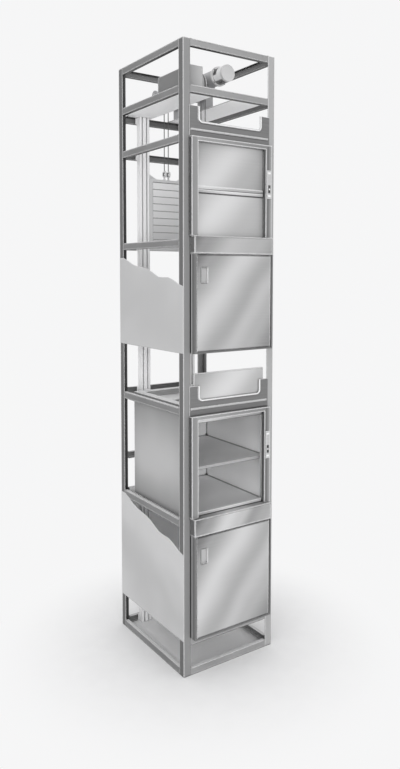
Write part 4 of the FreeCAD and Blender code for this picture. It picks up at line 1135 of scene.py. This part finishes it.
@dataclass
class Shaft:
    """Guide columns, packers and bed plates."""

    def make(self) -> None:
        """Dress the shaft's steelwork."""
        dress(Finishes.GUIDE, "guide_column_left", "guide_column_right", "guide_seats")
        dress(Finishes.BED, "bed_plates")


@dataclass
class Car:
    """The car with its shelf, roof and lifting channel.

    Attributes:
        side: Painted light and shade bands of its outer faces.
    """

    side: Tones = ((0.0, 144), (0.28, 184), (0.48, 148), (0.66, 184), (1.0, 110))

    def make(self) -> None:
        """Dress the car."""
        # Painted light and shade bands over the car's outer faces.
        walls = replace(Finishes.CAR, name="car_wall_steel", painted_bands=PaintedBands.over("car_walls", *self.side))
        dress(walls, "car_walls")
        dress(Finishes.SHELF, "car_floor", "car_shelf", "shelf_rests")
        dress(Finishes.ROOF, "car_roof", "car_beam")
        dress(Finishes.GUIDE, "car_guide_shoes")
        dress(Finishes.BRIGHT, "car_rope_sockets")


@dataclass
class Counterweight:
    """The counterweight's frame, slabs, tongues and eyes.

    Attributes:
        wire: Radius of the eye bolts' iron.
        seat: Foot of an eye bolt, as pairs of a height and a share of the iron's radius.
        thimble: Radius of a thimble's section, as a share of the iron's radius.
        nest: How far inside the iron's middle line a thimble lies, as a share of the iron's radius.
    """

    wire: float = 0.007
    seat: Pairs = ((0.0, 2.1), (0.004, 2.1), (0.006, 1.4))
    thimble: float = 0.6
    nest: float = 1.5

    def make(self) -> None:
        """Dress the counterweight and round its eyes."""
        dress(Finishes.WEIGHT, "counterweight_frame")
        dress(Finishes.SLAB, "counterweight_slabs")
        dress(Finishes.SHOE, "counterweight_shoes")
        self.eyes()

    def loop(self, form: Form, centre: Point, radius: float, wire: float, steps: int, sides: int) -> None:
        """Add a ring of round wire that lies in Y and Z."""
        path = along_arc(centre, radius, 0.0, TURN, steps, (DEEP, UP))[:-1]
        form.sweep(path, lambda turn, run: wire, sides, closed=True)

    def eyes(self) -> None:
        """Add the two forged eye bolts with the thimbles of the ropes in them, the thimbles painted dark as
        the shade inside the eyes.
        """
        low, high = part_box("counterweight_eyes")
        y, wire = (low.y + high.y) / 2, self.wire
        radius = (high.y - low.y) / 2 - wire
        shank = [(rise, share * wire) for rise, share in self.seat]
        shank.append((high.z - low.z - 2 * radius - 2 * wire, wire))
        bolts, thimbles = Form(), Form()
        for x in (low.x + wire, high.x - wire):
            centre = (x, y, high.z - wire - radius)
            self.loop(bolts, centre, radius, wire, 40, 14)
            bolts.lathe((x, y, low.z), Axis.Z, shank, 24)
            self.loop(thimbles, centre, radius - self.nest * wire, wire * self.thimble, 32, 10)
        bolts.piece("weight_eye_bolts", "counterweight", Finishes.BRIGHT, "rope_steel",
                    ("counterweight_eyes",))
        thimbles.piece("weight_thimbles", "counterweight", Finishes.THIMBLE_SHADE, "rope_steel")


@dataclass
class Machine:
    """The winding machine on the bed plates.

    Attributes:
        wheel: Y and Z of the sheave's axis.
        worm: X and Z of the worm's axis.
        case_face: X of the wheel case's outer face.
        barrel_end: Y of the worm barrel's rear end.
        bed_top: Z of the bed plates' top.
        foot_thick: Thickness of the gearbox's foot.
        foot_x: X of the foot's bolts.
        foot_y: Y of the foot's bolts.
        base_thick: Thickness of the brackets' feet.
        base_inset: How far in from their ends the brackets' bolts are.
        base_y: Y of the brackets' bolts.
        cover: Radius of the wheel cover's bolt circle, and how many bolts are on it.
        cap: The same of the worm's cap.
        flange: The same of the motor's ring.
        small: Bolts of the covers.
        large: Bolts that hold a foot down.
        screw_inset: How far in from its edges the control box's cover is screwed.
        screw: Round head of such a screw, as pairs of a height and a radius.
    """

    wheel: tuple[float, float] = (0.016, 4.520)
    worm: tuple[float, float] = (0.098, 4.577)
    case_face: float = 0.140
    barrel_end: float = 0.090
    bed_top: float = 4.339
    foot_thick: float = 0.014
    foot_x: tuple[float, float] = (0.070, 0.154)
    foot_y: tuple[float, float] = (-0.044, 0.076)
    base_thick: float = 0.007
    base_inset: float = 0.019
    base_y: tuple[float, float] = (0.349, 0.401)
    cover: tuple[float, int] = (0.068, 8)
    cap: tuple[float, int] = (0.056, 6)
    flange: tuple[float, int] = (0.0695, 4)
    small: Bolt = Bolt(0.0085, 0.006)
    large: Bolt = Bolt(0.017, 0.011)
    screw_inset: float = 0.018
    screw: Pairs = ((0.0, 0.0045), (0.0012, 0.0042), (0.0022, 0.003), (0.0026, 0.0))

    def make(self) -> None:
        """Dress the machine and add its bolts."""
        dress(Finishes.MACHINE, "gearbox", "diverter_bracket")
        dress(Finishes.MOTOR, "motor_end_cover", "motor_flange")
        dress(Finishes.DRUM, "motor_body")
        dress(Finishes.WHEEL, "traction_sheave", "diverter_wheel")
        dress(Finishes.BOX, "control_box", "control_box_cover")
        self.gearbox_bolts()
        self.bracket_bolts()
        self.box_screws()

    def gearbox_bolts(self) -> None:
        """Add the bolts of the wheel cover, the worm's cap, the motor's ring and the foot."""
        form = Form()
        x, z = self.worm
        self.small.ring(form, (self.case_face, *self.wheel), Axis.X, self.cover)
        self.small.ring(form, (x, self.barrel_end, z), Axis.Y, self.cap)
        self.small.ring(form, (x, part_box("motor_flange")[0].y, z), Axis.Y, self.flange, -1.0)
        self.hold_down(form, self.foot_x, self.foot_y, self.foot_thick)
        form.piece("gearbox_bolts", "frame", Finishes.BOLT, "guide_metal")

    def bracket_bolts(self) -> None:
        """Add the bolts that hold the diverter's brackets on the bed plates."""
        form = Form()
        low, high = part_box("diverter_bracket")
        across = (low.x + self.base_inset, high.x - self.base_inset)
        self.hold_down(form, across, self.base_y, self.base_thick)
        form.piece("bracket_bolts", "frame", Finishes.BOLT, "guide_metal")

    def hold_down(self, form: Form, across: Point, deep: Point, thick: float) -> None:
        """Add the bolts that hold a foot on the bed plates.

        Args:
            form: The form that takes them.
            across: Their places in X.
            deep: Their places in Y.
            thick: Thickness of the foot.
        """
        for x in across:
            for y in deep:
                self.large.head(form, (x, y, self.bed_top + thick), Axis.Z)

    def box_screws(self) -> None:
        """Add the round-headed screws of the control box's cover, on its left face."""
        form, inset = Form(), self.screw_inset
        low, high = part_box("control_box_cover")
        for y in (low.y + inset, high.y - inset):
            for z in (low.z + inset, high.z - inset):
                form.lathe((low.x, y, z), Axis.X, [(-rise, radius) for rise, radius in self.screw], 20)
        form.piece("box_screws", "frame", Finishes.BOLT, "box_paint")


@dataclass
class Ropes:
    """Two wire ropes with twisted strands.

    Attributes:
        radius: Radius of a rope.
        lay: Length of one full twist.
        strands: Strands that show round it.
        groove: Depth of the grooves between strands, as a share of the radius.
        step: Length of mesh between two rings.
        sides: Segments around.
    """

    radius: float = 0.004
    lay: float = 0.052
    strands: int = 6
    groove: float = 0.16
    step: float = 0.0065
    sides: int = 18

    def surface(self, turn: float, run: float) -> float:
        """Give the rope's radius at an angle and a distance along it."""
        phase = self.strands * (turn - TURN * run / self.lay) / 2
        return self.radius * (1 - self.groove + self.groove * abs(math.cos(phase)))

    def make(self) -> None:
        """Build both falls and the stretch over the wheels."""
        for node, body in (("car_rope_falls", "car"), ("counterweight_rope_falls", "counterweight")):
            piece = self.straight(node).piece(f"{body}_ropes", "", Finishes.ROPE, "rope_steel", (node,))
            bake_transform(piece)
        self.over_wheels()

    def straight(self, node: str) -> Form:
        """Make the two ropes of a straight fall.

        Args:
            node: The modelled fall.

        Returns:
            One form that holds both ropes.
        """
        low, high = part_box(node)
        tall = high.z - low.z
        count = round(tall / self.step)
        form = Form()
        y = (low.y + high.y) / 2
        for x in (low.x + self.radius, high.x - self.radius):
            path = [Vector((x, y, low.z + tall * i / count)) for i in range(count + 1)]
            form.sweep(path, self.surface, self.sides)
        return form

    def over_wheels(self) -> None:
        """Build the ropes over the sheave and the diverter wheel."""
        falls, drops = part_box("car_rope_falls"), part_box("counterweight_rope_falls")
        sheave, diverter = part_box("traction_sheave"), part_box("diverter_wheel")
        high = Vector((0, (sheave[0].y + sheave[1].y) / 2, falls[1].z))
        low = Vector((0, (diverter[0].y + diverter[1].y) / 2, drops[1].z))
        big = high.y - (falls[0].y + falls[1].y) / 2
        small = (drops[0].y + drops[1].y) / 2 - low.y
        gap = low - high
        lean = math.acos((big - small) / gap.length) - math.atan2(-gap.z, gap.y)
        form = Form()
        for x in (falls[0].x + self.radius, falls[1].x - self.radius):
            shift = Vector((x, 0, 0))
            steps = round(big * (math.pi - lean) / self.step)
            path = along_arc(high + shift, big, math.pi, lean, steps, (DEEP, UP))
            fall = along_arc(low + shift, small, lean, 0.0, round(small * lean / self.step), (DEEP, UP))
            span = fall[0] - path[-1]
            count = round(span.length / self.step)
            path += [path[-1] + span * (i / count) for i in range(1, count)] + fall
            form.sweep(path, self.surface, self.sides)
        form.piece("ropes_on_wheels", "frame", Finishes.ROPE, "rope_steel", ("ropes_over_wheels",))


@dataclass(frozen=True)
class Lamp:
    """A soft square lamp.

    Attributes:
        name: Its name.
        at: Its place.
        aim: The point that it shines at.
        size: Length of its side.
        watts: Its power.
    """

    name: str
    at: Point
    aim: Point
    size: float
    watts: float

    def hang(self) -> None:
        """Put the lamp in the scene."""
        data = bpy.data.lights.new(self.name, "AREA")
        data.size = self.size
        data.energy = self.watts
        lamp = stand(self.name, data)
        lamp.location = self.at
        lamp.rotation_euler = (Vector(self.aim) - Vector(self.at)).to_track_quat("-Z", "Y").to_euler()


@dataclass
class Studio:
    """Floor, backdrop, light and camera.

    Attributes:
        paper: Tone of the background.
        level: Strength of the light from all round.
        floor_tones: Darkest and lightest tone of the floor.
        half: Half the floor's length.
        near: Distance from the tower's middle at which the floor starts to fade into the background.
        far: Distance at which it has faded.
        lamps: A lamp high on the left and a broad one in front.
        place: The camera's place.
        heading: The camera's turn to the right of +Y, in degrees.
        dip: How far the camera looks down, in degrees.
        sensor: Height of the sensor in millimetres.
        lens: Focal length in millimetres.
        rise: Upward shift of the lens, as a share of the sensor.
    """

    paper: float = 246.0
    level: float = 0.77
    floor_tones: tuple[float, float] = (252.0, 255.0)
    half: float = 40.0
    near: float = 0.45
    far: float = 1.7
    lamps: tuple[Lamp, ...] = (Lamp("key", (-6.5, -4.0, 7.5), (0.0, 0.0, 2.6), 4.5, 90.0),
                               Lamp("front", (-5.4, -10.0, 2.6), (0.0, 0.0, 2.3), 6.0, 470.0))
    place: Point = (-3.1223, -4.6396, 3.0304)
    heading: float = 34.23
    dip: float = 3.48
    sensor: float = 36.0
    lens: float = 32.14
    rise: float = -0.090

    def make(self) -> None:
        """Build the studio."""
        self.backdrop()
        self.floor()
        for lamp in self.lamps:
            lamp.hang()
        self.camera()

    def backdrop(self) -> None:
        """Set a plain world that reads as paper to the camera, to gloss and through glass."""
        world = bpy.data.worlds.new("studio")
        bpy.context.scene.world = world
        world.use_nodes = True
        world.node_tree.nodes.clear()
        board = Board(world.node_tree)
        path = board.put("LightPath").outputs
        seen = board.maths("MAXIMUM", path["Is Camera Ray"],
                           board.maths("MAXIMUM", path["Is Glossy Ray"], path["Is Transmission Ray"]))
        strength = board.weigh(seen, self.level, 1.0)
        background = board.put("Background", {"Color": grey(self.paper), "Strength": strength})
        board.put("OutputWorld", {"Surface": background.outputs[0]})

    def floor(self) -> None:
        """Lay a pale floor that fades into the background."""
        data = bpy.data.meshes.new("floor")
        corners = [(x * self.half, y * self.half, 0) for x, y in ((-1, -1), (1, -1), (1, 1), (-1, 1))]
        data.from_pydata(corners, [], [(0, 1, 2, 3)])
        floor = stand("floor", data)
        material = bpy.data.materials.new("floor_paper")
        material.use_nodes = True
        data.materials.append(material)
        board = Board(material.node_tree)
        shader = material.node_tree.nodes["Principled BSDF"]
        speck = board.spread(board.noise(board.here(), 6.0, 4.0), *NOISE_SPAN)
        board.feed(shader.inputs["Base Color"], board.mix(speck, *(grey(tone) for tone in self.floor_tones)))
        shader.inputs["Roughness"].default_value = 0.9
        shader.inputs["Specular IOR Level"].default_value = 0.1
        glow = board.put("Emission", {"Color": grey(self.paper)})
        length = board.put("VectorMath", {0: board.scaled((1.0, 1.0, 0.0))}, operation="LENGTH")
        away = board.spread(length.outputs["Value"], self.near, self.far)
        path = board.put("LightPath").outputs
        seen = board.maths("MAXIMUM", path["Is Camera Ray"], path["Is Glossy Ray"])
        mixed = board.put("MixShader", {0: board.maths("MULTIPLY", away, seen), 1: shader.outputs[0],
                                        2: glow.outputs[0]})
        board.feed(material.node_tree.nodes["Material Output"].inputs["Surface"], mixed.outputs[0])

    def camera(self) -> None:
        """Set the camera at the drawing's viewpoint."""
        data = bpy.data.cameras.new("camera")
        data.sensor_fit = "VERTICAL"
        data.sensor_height = self.sensor
        data.lens = self.lens
        data.shift_y = self.rise
        camera = stand("camera", data)
        camera.location = self.place
        camera.rotation_euler = (math.radians(90 - self.dip), 0.0, math.radians(-self.heading))
        bpy.context.scene.camera = camera


def main() -> None:
    """Build the lift's looks."""
    logging.basicConfig(level=logging.INFO, format="%(name)s: %(message)s")
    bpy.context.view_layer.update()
    # Painted light and shade bands of the lower sill. Each landing's painted bands are lifted by its own
    # amount.
    lower_sill = ((0.0, 98), (0.16, 148), (0.42, 208), (0.58, 192), (0.72, 152), (0.86, 166), (1.0, 182))
    assemblies = (Tower(), Cladding(), Landing("upper", -9), Landing("lower", -3, lower_sill),
                  OperatingPlates(), Shaft(), Car(), Counterweight(), Machine(), Ropes(), Studio())
    for assembly in assemblies:
        assembly.make()
        LOG.info("made %s", type(assembly).__name__)
    bpy.context.scene.view_settings.view_transform = "Standard"


if __name__ == "__main__":
    main()
